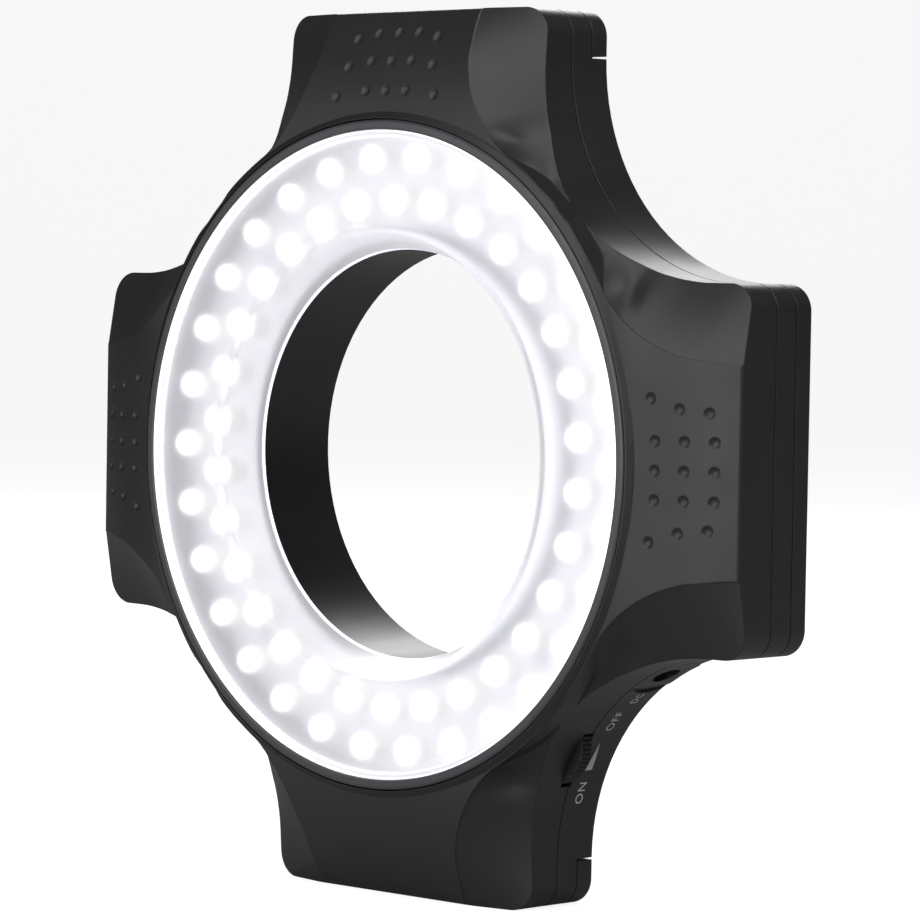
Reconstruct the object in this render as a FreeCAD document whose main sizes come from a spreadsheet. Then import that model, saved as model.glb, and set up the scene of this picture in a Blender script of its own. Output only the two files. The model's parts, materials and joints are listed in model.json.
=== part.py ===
import FreeCAD, Part
import Sketcher
import math
import os
import re
import sys

from FreeCAD import Placement, Rotation, Vector

# A ring light that slips over a lens: a round translucent window over two rings of LEDs,
# in a black housing with four lobes, each holding one AA cell behind a sliding door.
#
# Bench frame: the rear face lies in the XY plane and the lens axis is +Z, so the front
# looks up. Plan directions are X (right) and Y (up on the finished part). Each finished
# piece is then laid over by LAY, so that the front looks along -Y and +Z is up.
# A lobe has its own pair of directions: reach, out from the lens axis, and across.

SIZES = {
    # how far fused forms run into each other, and cutters past what they cut
    "weld": 0.5,
    "overcut": 1.0,
    # outline, the same from front to rear
    "half_size": 85.0,
    "arc_offset": 76.0,
    "arc_radius": 42.0,
    "corner_radius": 5.0,
    "rear_rounding": 1.0,
    "end_rounding": 0.8,
    # heights above the rear face
    "seam_height": 10.4,
    "rib_crest": 26.64,
    "front_height": 27.7,
    "ceiling_height": 15.3,
    "bay_ceiling": 16.4,
    # walls
    "side_wall": 2.0,
    "rear_plate": 2.0,
    "seam_groove": 0.3,
    # ribs: the curved tops of the lobes
    "rib_radius": 50.7,
    "rib_run": 25.6,
    "rib_half_width": 19.4,
    "crease_start": 83.0,
    "crease_radius": 33.0,
    "crease_step": 0.22,
    "crease_blend": 0.15,
    "crease_end_bearing": 28.0,
    # scoops: the hollows between the ribs
    "ring_wall_radius": 65.6,
    "scoop_edge_height": 16.4,
    "scoop_neck_height": 21.6,
    "scoop_root_height": 21.6,
    "scoop_root_bearing": 37.5,
    "scoop_neck_width": 12.5,
    "scoop_cove_share": 0.45,
    "scoop_cove_depth": 5.0,
    "scoop_cove_bearing": 22.0,
    "scoop_overrun": 1.5,
    # grip dimples on three of the lobes
    "dimple_radius": 1.15,
    "dimple_depth": 0.45,
    "dimple_spacing": 5.35,
    "dimple_setback": 1.0,
    "dimple_inset_inner": 15.4,
    "dimple_inset_middle": 9.7,
    "dimple_inset_outer": 4.3,
    "dimple_end_inner": 13.0,
    "dimple_end_middle": 11.2,
    "dimple_end_outer": 10.6,
    # bore and its tube
    "bore_radius": 40.0,
    "tube_wall": 1.8,
    "tube_top": 18.0,
    # window
    "window_radius": 62.0,
    "window_inner_radius": 42.9,
    "window_plate": 2.0,
    "lip_radius": 39.2,
    "cone_wall": 1.6,
    "window_rim": 1.2,
    # bezel, the ledge that it stands on, and the sloping rim round it
    "bezel_width": 1.95,
    "bezel_fit": 0.05,
    "bezel_rounding": 0.5,
    "bezel_gap": 0.2,
    "rim_width": 1.2,
    "rim_top": 27.5,
    "rim_drop": 0.2,
    "ledge_top": 25.2,
    "ledge_thickness": 1.5,
    "ledge_radius": 60.5,
    "board_room": 1.3,
    # LED board
    "board_inner_radius": 43.5,
    "board_outer_radius": 61.5,
    "board_rear": 13.6,
    "board_thickness": 1.6,
    "leds_per_row": 30,
    "outer_row_radius": 57.0,
    "inner_row_radius": 48.7,
    "led_radius": 2.5,
    "led_flange_radius": 2.9,
    "led_flange": 1.0,
    "led_length": 8.7,
    "leg_radius": 0.25,
    "leg_spacing": 2.54,
    "leg_length": 2.2,
    "leg_clearance": 0.1,
    "reflector_thickness": 0.8,
    "reflector_clearance": 0.15,
    "resistor_ring": 53.0,
    "resistor_start": 18.0,
    "resistor_count": 10,
    "resistor_length": 3.2,
    "resistor_width": 1.6,
    "resistor_thickness": 0.6,
    # screws through the LED board into the rear shell
    "board_screw_ring": 53.0,
    "board_post_radius": 2.0,
    "board_screw_radius": 1.0,
    "board_screw_head": 1.8,
    "board_screw_length": 6.0,
    "screw_clearance": 0.05,
    # screws that hold the two shells together
    "case_post_inset": 21.0,
    "case_post_setback": 5.25,
    "case_post_radius": 3.0,
    "case_screw_seat": 6.0,
    "case_screw_radius": 1.2,
    "case_screw_head": 2.1,
    "case_screw_head_height": 1.6,
    "case_screw_length": 8.5,
    "case_screw_recess": 0.3,
    # battery bays
    "cell_radius": 7.25,
    "cell_length": 50.5,
    "cell_inset": 9.5,
    "cell_side_room": 0.45,
    "cell_height": 9.0,
    "cell_nub_radius": 2.75,
    "cell_nub_length": 1.2,
    "contact_thickness": 0.5,
    "contact_top": 12.0,
    "contact_bottom": 3.8,
    "contact_tab_bottom": 10.5,
    "contact_tab_overhang": 1.0,
    "contact_edge_gap": 0.4,
    "spring_room": 3.0,
    "spring_radius": 3.0,
    "spring_wire": 0.35,
    "spring_turns": 3,
    "bay_wall": 1.0,
    "bay_end_wall": 1.25,
    "bay_wall_bottom": 3.5,
    # battery doors
    "door_plate": 1.6,
    "door_side_height": 4.9,
    "door_gap": 0.3,
    "door_notch": 0.5,
    "door_cap_depth": 8.6,
    "door_window_margin": 0.2,
    "door_tongue_margin": 2.45,
    "door_lip_thickness": 1.0,
    "door_lip_gap": 0.2,
    "door_web": 1.0,
    "door_lip_setback": 1.0,
    # thumbwheel of the dimmer, seen from the centre of the side arc
    "wheel_angle": 151.4,
    "wheel_distance": 47.5,
    "wheel_radius": 7.8,
    "wheel_thickness": 2.8,
    "wheel_bottom": 9.9,
    "wheel_ribs": 54,
    "wheel_rib_depth": 0.3,
    "wheel_room": 0.6,
    "wheel_play": 0.1,
    "shaft_radius": 1.5,
    "shaft_clearance": 0.05,
    "pot_radius": 3.2,
    "pot_height": 4.1,
    # driver board
    "driver_rear": 4.3,
    "driver_thickness": 1.2,
    "driver_inner_radius": 46.0,
    "driver_outer_radius": 66.5,
    "driver_start": -66.0,
    "driver_end": -22.0,
    "driver_wall_gap": 0.6,
    "driver_post_radius": 2.0,
    "driver_screw_radius": 0.8,
    "driver_screw_head": 1.6,
    "driver_screw_head_height": 1.0,
    "driver_screw_length": 3.0,
    "driver_screw_ring_near": 49.0,
    "driver_screw_angle_near": -63.0,
    "driver_screw_ring_far": 58.0,
    "driver_screw_angle_far": -42.0,
    "parts_ring": 50.0,
    "chip_angle": -57.0,
    "chip_length": 5.0,
    "chip_width": 4.0,
    "chip_height": 1.2,
    "capacitor_angle": -50.5,
    "capacitor_radius": 2.5,
    "capacitor_height": 5.4,
    "inductor_angle": -38.0,
    "inductor_radius": 3.0,
    "inductor_height": 4.0,
    "link_ring": 49.0,
    "link_angle": -27.0,
    "link_length": 4.0,
    "link_width": 2.5,
    # power socket, seen from the centre of the side arc
    "socket_angle": 118.7,
    "socket_height": 5.2,
    "seat_angle": 117.0,
    "seat_distance": 41.75,
    "seat_radius": 6.7,
    "seat_boss_depth": 2.5,
    "socket_hole_radius": 2.75,
    "socket_width": 9.0,
    "socket_body_height": 6.4,
    "socket_length": 12.0,
    "socket_bore_depth": 9.5,
    "socket_pin_radius": 1.0,
    "socket_pin_setback": 1.5,
    "socket_lug_width": 1.5,
    "socket_lug_height": 0.8,
    "socket_lug_length": 6.0,
    "socket_lug_setback": 3.0,
    "socket_notch_gap": 0.3,
    "leaf_width": 1.2,
    "leaf_thickness": 0.3,
    "leaf_clearance": 0.1,
    # leads from the battery contacts to the LED board
    "lead_radius": 0.6,
    "lead_height": 11.0,
    "lead_board_ring": 60.6,
}

# Places and widths that follow from the sizes above
FOLLOWING = {
    "chamber_radius": "board_outer_radius + board_room",
    "groove_radius": "window_radius + bezel_fit + bezel_width + bezel_gap",
    "rim_radius": "groove_radius + rim_width",
    "rim_foot": "rib_crest - rim_drop",
    "rib_axis": "half_size - rib_run",
    "dimple_row_inner": "half_size - dimple_inset_inner",
    "dimple_row_middle": "half_size - dimple_inset_middle",
    "dimple_row_outer": "half_size - dimple_inset_outer",
    "cell_reach": "half_size - cell_inset",
    "bay_inner_wall": "cell_reach - cell_radius - cell_side_room - bay_wall",
    "contact_tab_reach": "bay_inner_wall - contact_tab_overhang",
    "case_post_reach": "half_size - case_post_inset",
    "case_post_across": "cell_length / 2 - case_post_setback",
    "lobe_half_width": "arc_offset - arc_radius",
    "door_cap_reach": "half_size - door_cap_depth",
    "door_window_reach": "bay_inner_wall + bay_wall + door_window_margin",
    "door_tongue_half_width": "cell_length / 2 + door_tongue_margin",
    "door_lip_start": "door_window_reach + door_lip_setback",
    "door_lip_end": "door_cap_reach + door_web",
    "door_lip_half_width": "lobe_half_width - side_wall - door_lip_gap",
}

doc = FreeCAD.newDocument("RingLight")
sheet = doc.addObject("Spreadsheet::Sheet", "Sizes")
cells = [*SIZES.items(), *((alias, f"={formula}") for alias, formula in FOLLOWING.items())]
for row, (alias, content) in enumerate(cells, start=1):
    sheet.set(f"A{row}", alias)
    sheet.set(f"B{row}", str(content))
    sheet.setAlias(f"B{row}", alias)
    doc.recompute()

LAY = Placement(Vector(0, 0, 0), Rotation(Vector(1, 0, 0), 90))
UP = Vector(0, 0, 1)
SOCKET_FRONT = "seat_distance + seat_boss_depth"
DRIVER_TOP = "driver_rear + driver_thickness"
QUARTERS = range(4)
LOBES = ("right", "top", "left", "bottom")
BELOW = "-2"
ABOVE = "front_height + 4"
OUTSIDE = "half_size + 5"
ALL_ROUND = (f"-({OUTSIDE})", OUTSIDE)
SIDE_ARC = ("arc_offset", "-arc_offset")


def size(alias):
    return float(sheet.get(alias))


def bound(formula):
    """A formula in the words of the sheet, as an expression on the sheet's cells."""
    def cell(match):
        word = match.group()
        return f"Sizes.{word}" if word in SIZES or word in FOLLOWING else word
    return re.sub(r"[a-z][a-z_]*[a-z]", cell, str(formula))


def worth(formula):
    return float(sheet.evalExpression(bound(formula)))


def quarter_turned(reach, across, quarter):
    """Plan place of a point of the right-hand lobe, turned to another lobe."""
    turned = (
        (f"({reach})", f"({across})"),
        (f"-({across})", f"({reach})"),
        (f"-({reach})", f"-({across})"),
        (f"({across})", f"-({reach})"),
    )
    return turned[quarter]


def polar(radius, angle, centre=("0", "0")):
    out, up = f"({radius}) * cos({angle})", f"({radius}) * sin({angle})"
    return (f"({centre[0]}) + {out}", f"({centre[1]}) + {up}")


def bind(item, **formulas):
    for name, formula in formulas.items():
        item.setExpression(name, bound(formula))
    return item


def put(item, place, bottom, turn="0"):
    """Places a primitive in plan, at a height, turned about the lens direction."""
    item.Placement = Placement(Vector(0, 0, 0), Rotation(UP, worth(turn)))
    item.setExpression("Placement.Base.x", bound(place[0]))
    item.setExpression("Placement.Base.y", bound(place[1]))
    item.setExpression("Placement.Base.z", bound(bottom))
    return item


def cylinder(name, radius, bottom, top, place=("0", "0")):
    item = doc.addObject("Part::Cylinder", name)
    bind(item, Radius=radius, Height=f"({top}) - ({bottom})")
    return put(item, place, bottom)


def sector(name, radius, bottom, top, start, end, place=("0", "0")):
    item = doc.addObject("Part::Cylinder", name)
    bind(item, Radius=radius, Height=f"({top}) - ({bottom})", Angle=f"({end}) - ({start})")
    return put(item, place, bottom, start)


def box(name, reach, across, height, quarter=0):
    """A box between pairs of values along a lobe, across it and in height."""
    item = doc.addObject("Part::Box", name)
    lengths = [f"({high}) - ({low})" for low, high in (reach, across, height)]
    bind(item, Length=lengths[0], Width=lengths[1], Height=lengths[2])
    return put(item, quarter_turned(reach[0], across[0], quarter), height[0], 90 * quarter)


def centred_box(name, length, width, bottom, top, ring, angle):
    """A box whose middle lies on a ring, its length running round the ring."""
    item = doc.addObject("Part::Box", name)
    bind(item, Length=width, Width=length, Height=f"({top}) - ({bottom})")
    out, along = f"({ring}) - ({width}) / 2", f"-({length}) / 2"
    corner = (
        f"({out}) * cos({angle}) - ({along}) * sin({angle})",
        f"({out}) * sin({angle}) + ({along}) * cos({angle})",
    )
    return put(item, corner, bottom, angle)


def fuse(name, *pieces):
    item = doc.addObject("Part::MultiFuse", name)
    item.Shapes = list(pieces)
    return item


def cut(name, base, *tools):
    item = doc.addObject("Part::Cut", name)
    item.Base = base
    item.Tool = tools[0] if len(tools) == 1 else group(f"{name}_tools", *tools)
    return item


def common(name, base, tool):
    item = doc.addObject("Part::Common", name)
    item.Base = base
    item.Tool = tool
    return item


def group(name, *pieces):
    item = doc.addObject("Part::Compound", name)
    item.Links = list(pieces)
    return item


def feature(name, shape):
    item = doc.addObject("Part::Feature", name)
    item.Shape = shape
    return item


def subpart(label, *pieces):
    """A finished piece, or a set of like ones, laid over into the part's own frame."""
    item = group(f"{label}_laid", *pieces)
    item.Label = label
    item.Placement = LAY
    finished.append(item)
    return item


finished = []


# Sketches and bodies


def origin_feature(body, role):
    return next(item for item in body.Origin.OriginFeatures if item.Role == role)


def sketch_on(body, name, role, offset="0"):
    sketch = body.newObject("Sketcher::SketchObject", name)
    sketch.AttachmentSupport = [(origin_feature(body, role), "")]
    sketch.MapMode = "FlatFace"
    sketch.setExpression("AttachmentOffset.Base.z", bound(offset))
    return sketch


def polygon(sketch, corners):
    """Closed run of straight lines whose corners are bound to formulas."""
    points = [Vector(worth(across), worth(up), 0) for across, up in corners]
    count = len(points)
    for index in range(count):
        sketch.addGeometry(Part.LineSegment(points[index], points[(index + 1) % count]), False)
    for index, (across, up) in enumerate(corners):
        before = (index - 1) % count
        sketch.addConstraint(Sketcher.Constraint("Coincident", before, 2, index, 1))
        pin_point(sketch, index, 1, across, up)


def pin_point(sketch, element, end, across, up):
    for kind, formula in (("DistanceX", across), ("DistanceY", up)):
        number = sketch.addConstraint(Sketcher.Constraint(kind, -1, 1, element, end, worth(formula)))
        sketch.setExpression(f"Constraints[{number}]", bound(formula))


def revolved(name, corners):
    """Body turned about the lens direction from corners given as radius and height."""
    body = doc.addObject("PartDesign::Body", name)
    sketch = sketch_on(body, f"{name}_profile", "XZ_Plane")
    polygon(sketch, corners)
    turn = body.newObject("PartDesign::Revolution", f"{name}_turn")
    turn.Profile = sketch
    turn.ReferenceAxis = (sketch, ["V_Axis"])
    turn.Angle = 360
    sketch.Visibility = False
    return body


def polar_pattern(body, name, original, count):
    pattern = body.newObject("PartDesign::PolarPattern", name)
    pattern.Originals = [original]
    pattern.Axis = (origin_feature(body, "Z_Axis"), [""])
    pattern.Angle = 360
    pattern.setExpression("Occurrences", bound(count))
    body.Tip = pattern
    return pattern


def rounded(body, name, radius, wanted):
    """Rounds the edges of the body's last feature that the test picks out."""
    doc.recompute()
    base = body.Tip
    edges = [f"Edge{number}" for number, edge in enumerate(base.Shape.Edges, start=1) if wanted(edge)]
    fillet = body.newObject("PartDesign::Fillet", name)
    fillet.Base = (base, edges)
    bind(fillet, Radius=radius)
    body.Tip = fillet
    return fillet


# Outline and outer form


def lobed_block(name, bottom, top, inset="0"):
    """Block with the four-lobed outline, drawn in all round by the inset."""
    body = doc.addObject("PartDesign::Body", name)
    square = sketch_on(body, f"{name}_square", "XY_Plane", bottom)
    side = f"half_size - ({inset})"
    back = f"-({side})"
    polygon(square, [(back, back), (side, back), (side, side), (back, side)])
    pad = body.newObject("PartDesign::Pad", f"{name}_pad")
    pad.Profile = square
    bind(pad, Length=f"({top}) - ({bottom})")

    notch = sketch_on(body, f"{name}_notch", "XY_Plane", top)
    flank = f"lobe_half_width - ({inset})"
    corners = [
        ("arc_offset", flank), (OUTSIDE, flank), (OUTSIDE, OUTSIDE), (flank, OUTSIDE), (flank, "arc_offset"),
    ]
    points = [Vector(worth(across), worth(up), 0) for across, up in corners]
    for start, end in zip(points, points[1:]):
        notch.addGeometry(Part.LineSegment(start, end), False)
    middle = Vector(size("arc_offset"), size("arc_offset"), 0)
    circle = Part.Circle(middle, UP, worth(f"arc_radius + ({inset})"))
    notch.addGeometry(Part.ArcOfCircle(circle, math.pi, 1.5 * math.pi), False)
    for line in range(3):
        notch.addConstraint(Sketcher.Constraint("Coincident", line, 2, line + 1, 1))
    for line, (across, up) in enumerate(corners[:-1]):
        pin_point(notch, line, 1, across, up)
    pin_point(notch, 3, 2, *corners[-1])
    notch.addConstraint(Sketcher.Constraint("Coincident", 3, 2, 4, 1))
    notch.addConstraint(Sketcher.Constraint("Coincident", 0, 1, 4, 2))
    radius = notch.addConstraint(Sketcher.Constraint("Radius", 4, worth(f"arc_radius + ({inset})")))
    notch.setExpression(f"Constraints[{radius}]", bound(f"arc_radius + ({inset})"))
    pocket = body.newObject("PartDesign::Pocket", f"{name}_pocket")
    pocket.Profile = notch
    pocket.Type = 1
    polar_pattern(body, f"{name}_notches", pocket, "4")

    corner = size("half_size") - worth(inset)
    flank_place = worth(flank)

    def lobe_corner(edge):
        places = sorted(abs(value) for value in edge.CenterOfMass[:2])
        upright = edge.Curve.TypeId == "Part::GeomLine" and abs(edge.tangentAt(edge.FirstParameter).z) > 0.9
        at_corner = abs(places[1] - corner) < 0.01 and abs(places[0] - flank_place) < 0.01
        return upright and at_corner

    rounded(body, f"{name}_corners", f"corner_radius - ({inset})", lobe_corner)
    return body


def outer_block():
    """Lobed block with the curved rib tops, before the scoops are taken out."""
    block = lobed_block("outer_block", "0", "rib_crest")
    rib = sketch_on(block, "rib_profile", "XZ_Plane")
    axis_height = worth("rib_crest - rib_radius")
    reach = worth(OUTSIDE)
    start = Vector(size("rib_axis"), size("rib_crest"), 0)
    end = Vector(reach, rib_height(reach), 0)
    corner = Vector(reach, size("rib_crest"), 0)
    circle = Part.Circle(Vector(size("rib_axis"), axis_height, 0), UP, size("rib_radius"))
    first = math.atan2(end.y - axis_height, end.x - size("rib_axis"))
    rib.addGeometry(Part.ArcOfCircle(circle, first, math.pi / 2), False)
    rib.addGeometry(Part.LineSegment(start, corner), False)
    rib.addGeometry(Part.LineSegment(corner, end), False)
    rib.addConstraint(Sketcher.Constraint("Coincident", 0, 2, 1, 1))
    rib.addConstraint(Sketcher.Constraint("Coincident", 1, 2, 2, 1))
    rib.addConstraint(Sketcher.Constraint("Coincident", 2, 2, 0, 1))
    pin_point(rib, 0, 3, "rib_axis", "rib_crest - rib_radius")
    pin_point(rib, 1, 1, "rib_axis", "rib_crest")
    pin_point(rib, 1, 2, OUTSIDE, "rib_crest")
    rib.addConstraint(Sketcher.Constraint("Vertical", 2))
    slope = block.newObject("PartDesign::Pocket", "rib_slope")
    slope.Profile = rib
    slope.Midplane = True
    bind(slope, Length=f"2 * ({OUTSIDE})")
    polar_pattern(block, "rib_slopes", slope, "4")

    reach = size("half_size")
    end_height = rib_height(reach)

    def front_end(edge):
        flat = abs(edge.BoundBox.ZMin - end_height) < 0.01 and abs(edge.BoundBox.ZMax - end_height) < 0.01
        return flat and max(abs(value) for value in edge.CenterOfMass[:2]) > reach - 0.01

    rounded(block, "front_end_rounding", "end_rounding", front_end)
    rounded(block, "rear_edge_rounding", "rear_rounding", lambda edge: edge.BoundBox.ZMax < 0.01)
    return block


def smooth_step(value):
    value = min(max(value, 0.0), 1.0)
    return value * value * (3 - 2 * value)


def rib_height(reach):
    beyond = max(reach - size("rib_axis"), 0.0)
    return size("rib_crest") - size("rib_radius") + math.sqrt(size("rib_radius") ** 2 - beyond ** 2)


def scoop_cutter():
    """Solid above the hollow between the right-hand and the top rib.

    Its floor is one smooth surface from the crease beside a rib, round the ring's
    outer wall, to just outside the outline, with a cove along the wall. Half of it is
    worked out along a share of the way from the lobe's end to the diagonal, and the
    other half mirrors it.
    """
    crease_middle = Vector(size("crease_start"), size("rib_half_width") + size("crease_radius"), 0)
    crease_bearing = math.atan2(crease_middle.y, crease_middle.x)
    ring_wall = size("ring_wall_radius")
    end_reach = size("half_size") + size("scoop_overrun")
    outer_radius = size("arc_radius") - size("scoop_overrun")

    def crease_radius_at(bearing):
        """Distance from the lens axis to the crease's arc."""
        lean = min(bearing - crease_bearing, 0.0)
        chord = crease_middle.Length * math.sin(lean)
        return crease_middle.Length * math.cos(lean) - math.sqrt(size("crease_radius") ** 2 - chord ** 2)

    def inner_point(bearing):
        over = crease_radius_at(bearing) - ring_wall
        radius = ring_wall + (over + math.hypot(over, size("crease_blend"))) / 2
        return Vector(radius * math.cos(bearing), radius * math.sin(bearing), 0)

    start_bearing = math.atan2(size("rib_half_width"), size("crease_start"))
    steps = 16
    inner = [Vector(end_reach, size("rib_half_width"), 0)]
    for step in range(steps + 1):
        inner.append(inner_point(start_bearing + (math.pi / 4 - start_bearing) * step / steps))
    outer = [Vector(end_reach, size("arc_offset") - outer_radius, 0)]
    for step in range(steps + 1):
        turn = math.pi / 4 * step / steps
        across = Vector(math.sin(turn), math.cos(turn), 0) * outer_radius
        outer.append(Vector(size("arc_offset"), size("arc_offset"), 0) - across)

    def along(points, share):
        """Point at a share of the length of a run of points."""
        lengths = [(b - a).Length for a, b in zip(points, points[1:])]
        left = share * sum(lengths)
        for start, end, length in zip(points, points[1:], lengths):
            if left <= length:
                return start + (end - start) * (left / length)
            left -= length
        return points[-1]

    def ramp(bearing, start, end):
        """Share of the way between two bearings, with a soft start and end."""
        return smooth_step((math.degrees(bearing) - size(start)) / (size(end) - size(start)))

    def floor_point(share, outward):
        near = along(inner, share)
        far = along(outer, share)
        bearing = math.atan2(near.y, near.x)
        root_drop = ramp(bearing, "crease_end_bearing", "scoop_root_bearing")
        crest = rib_height(near.x) - size("crease_step")
        near_height = crest + (size("scoop_root_height") - crest) * root_drop
        off_diagonal = math.degrees(math.pi / 4 - math.atan2(far.y, far.x))
        neck = math.exp(-(off_diagonal / size("scoop_neck_width")) ** 2)
        edge_height = size("scoop_edge_height")
        far_height = edge_height + (size("scoop_neck_height") - edge_height) * neck
        cove_share = size("scoop_cove_share") * ramp(bearing, "scoop_cove_bearing", "crease_end_bearing")
        point = near + (far - near) * outward
        cove = max(1 - (point - near).Length / size("scoop_cove_depth"), 0.0) ** 3
        above_far = (1 - cove_share) * (1 - outward) + cove_share * cove
        return Vector(point.x, point.y, far_height + (near_height - far_height) * above_far)

    shares = [step / 28 for step in range(29)]
    ways = [(step / 12) ** 1.4 for step in range(13)]
    half = [[floor_point(share, way) for way in ways] for share in shares]
    mirrored = [[Vector(point.y, point.x, point.z) for point in run] for run in reversed(half[:-1])]
    surface = Part.BSplineSurface()
    surface.interpolate(half + mirrored)
    return surface.toShape().extrude(Vector(0, 0, size("rib_crest")))


def scoop_cutters():
    cutter = scoop_cutter()
    turned = []
    for quarter in QUARTERS:
        copy = cutter.copy()
        copy.rotate(Vector(0, 0, 0), UP, 90 * quarter)
        turned.append(copy)
    return feature("scoop_cutters", Part.makeCompound(turned))


def facing(bearing):
    """Direction in plan at a bearing in degrees."""
    return Vector(math.cos(math.radians(bearing)), math.sin(math.radians(bearing)), 0)


ARC_MIDDLE = Vector(size("arc_offset"), -size("arc_offset"), 0)
WHEEL_PLACE = polar("wheel_distance", "wheel_angle", SIDE_ARC)
SOCKET_FACING = facing(size("seat_angle"))
SOCKET_SIDEWAYS = Vector(SOCKET_FACING.y, -SOCKET_FACING.x, 0)
SOCKET_OFFSET = size("seat_distance") * math.tan(math.radians(size("seat_angle") - size("socket_angle")))


def socket_place(distance, sideways=0.0, height=0.0):
    """Point at a distance from the side arc's centre along the socket's axis."""
    middle = ARC_MIDDLE + SOCKET_FACING * distance + SOCKET_SIDEWAYS * (SOCKET_OFFSET + sideways)
    return Vector(middle.x, middle.y, size("socket_height") + height)


def socket_cylinder(name, radius, start, end):
    """Cylinder along the socket's axis between two distances from the arc's centre."""
    item = doc.addObject("Part::Cylinder", name)
    bind(item, Radius=radius, Height=f"({end}) - ({start})")
    item.Placement = Placement(socket_place(worth(start)), Rotation(UP, SOCKET_FACING))
    return item


def socket_box(name, inward, sideways, height):
    """Box along the socket's axis, from pairs of values measured from the axis."""
    item = doc.addObject("Part::Box", name)
    lengths = [f"({high}) - ({low})" for low, high in (inward, sideways, height)]
    bind(item, Length=lengths[0], Width=lengths[1], Height=lengths[2])
    corner = socket_place(worth(inward[0]), -worth(sideways[0]), worth(height[0]))
    item.Placement = Placement(corner, Rotation(UP, size("seat_angle")))
    return item


def outer_form():
    """Whole outer form: ribs, scoops and the flat seat round the power socket."""
    scooped = cut("scooped_form", outer_block(), scoop_cutters())
    boss = socket_cylinder("seat_boss", "seat_radius", "seat_distance", "seat_distance + seat_boss_depth")
    inside = lobed_block("boss_limit", "0", "seam_height + scoop_edge_height")
    seated = fuse("seated_form", scooped, common("seat_boss_inside", boss, inside))
    facing_cut = socket_cylinder("seat_facing", "seat_radius", "seat_distance - 8", "seat_distance")
    return cut("outer_form", seated, facing_cut)


# Shells


def dimples():
    """Balls that leave the shallow dimples in the top, right and left ribs."""
    ball = (size("dimple_radius") ** 2 + size("dimple_depth") ** 2) / (2 * size("dimple_depth"))
    balls = []
    for quarter in (0, 1, 2):
        for row in ("inner", "middle", "outer"):
            end = size(f"dimple_end_{row}")
            for across in (-end, -size("dimple_spacing"), 0.0, size("dimple_spacing"), end):
                setback = size("dimple_setback") if abs(across) == end else 0.0
                reach = size(f"dimple_row_{row}") - setback
                lean = math.asin((reach - size("rib_axis")) / size("rib_radius"))
                rise = size("rib_radius") + ball - size("dimple_depth")
                place = Vector(
                    size("rib_axis") + rise * math.sin(lean), across,
                    size("rib_crest") - size("rib_radius") + rise * math.cos(lean))
                turned = Rotation(UP, 90 * quarter).multVec(place)
                balls.append(Part.makeSphere(ball, turned))
    return feature("dimples", Part.makeCompound(balls))


def case_posts(name, radius, bottom, top):
    posts = []
    for quarter in QUARTERS:
        for sign in ("", "-"):
            place = quarter_turned("case_post_reach", f"{sign}case_post_across", quarter)
            posts.append(cylinder(f"{name}_{len(posts) + 1}", radius, bottom, top, place))
    return posts


def wheel_slot(name, bottom, top):
    """Room for the thumbwheel in the side wall, round the wheel's own axis."""
    return cylinder(name, "wheel_radius + wheel_room", bottom, top, WHEEL_PLACE)


def front_shell(form):
    """Front half: the ledge for bezel and window, the rib tops, the bay ceilings and the wheel slot."""
    above = box("above_seam", ALL_ROUND, ALL_ROUND, ("seam_height", ABOVE))
    upper = common("upper_form", form, above)
    cavity = lobed_block("front_cavity", "seam_height - overcut", "ceiling_height", "side_wall")
    below = "seam_height - overcut"
    chamber = cylinder("light_chamber", "chamber_radius", below, "ledge_top - ledge_thickness")
    opening = cylinder("front_opening", "ledge_radius", below, ABOVE)
    groove = cylinder("bezel_groove", "groove_radius", "ledge_top", ABOVE)
    rim = cylinder("rim_blank", "rim_radius", "rib_crest - weld", "rim_top")
    slope = revolved("rim_slope", [
        ("groove_radius", "rim_top"),
        ("rim_radius", "rim_foot"),
        ("rim_radius", "rim_top + overcut"),
        ("groove_radius", "rim_top + overcut"),
    ])
    bays = [
        box(f"bay_ceiling_{LOBES[quarter]}", ("bay_inner_wall + bay_wall", "half_size - side_wall"),
            BAY_ACROSS, (below, "bay_ceiling"), quarter)
        for quarter in QUARTERS
    ]
    rimmed = cut("rimmed_form", fuse("upper_with_rim", upper, rim), slope)
    wheel_room = wheel_slot("front_wheel_slot", below, "wheel_bottom + wheel_thickness + wheel_play")
    hollow = cut("front_hollow", rimmed, cavity, chamber, opening, groove, wheel_room, *bays, dimples())
    posts = case_posts("front_post", "case_post_radius", "seam_height", "ceiling_height + weld")
    pilots = case_posts("front_pilot", "case_screw_radius + screw_clearance", below,
                        "case_screw_seat + case_screw_length + weld")
    return cut("front_shell_form", fuse("front_with_posts", hollow, *posts), *pilots)


CAP_ACROSS = ("-(lobe_half_width + overcut)", "lobe_half_width + overcut")
BAY_ACROSS = (
    "-(cell_length / 2 + spring_room + contact_thickness + bay_end_wall)",
    "cell_length / 2 + contact_thickness + bay_end_wall",
)


def battery_bay_walls(quarter):
    """Walls round one cell: a long one towards the lens and one at each end."""
    lobe = LOBES[quarter]
    walls = [
        box(f"bay_inner_{lobe}", ("bay_inner_wall", "bay_inner_wall + bay_wall"), BAY_ACROSS,
            ("rear_plate - weld", "seam_height - door_gap"), quarter)
    ]
    reach = ("bay_inner_wall + bay_wall / 2", "half_size - side_wall / 2")
    height = ("bay_wall_bottom", "seam_height")
    for end, low, high in (
        ("spring", BAY_ACROSS[0], f"{BAY_ACROSS[0]} + bay_end_wall"),
        ("nub", f"{BAY_ACROSS[1]} - bay_end_wall", BAY_ACROSS[1]),
    ):
        walls.append(box(f"bay_{end}_end_{lobe}", reach, (low, high), height, quarter))
    return walls


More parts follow.
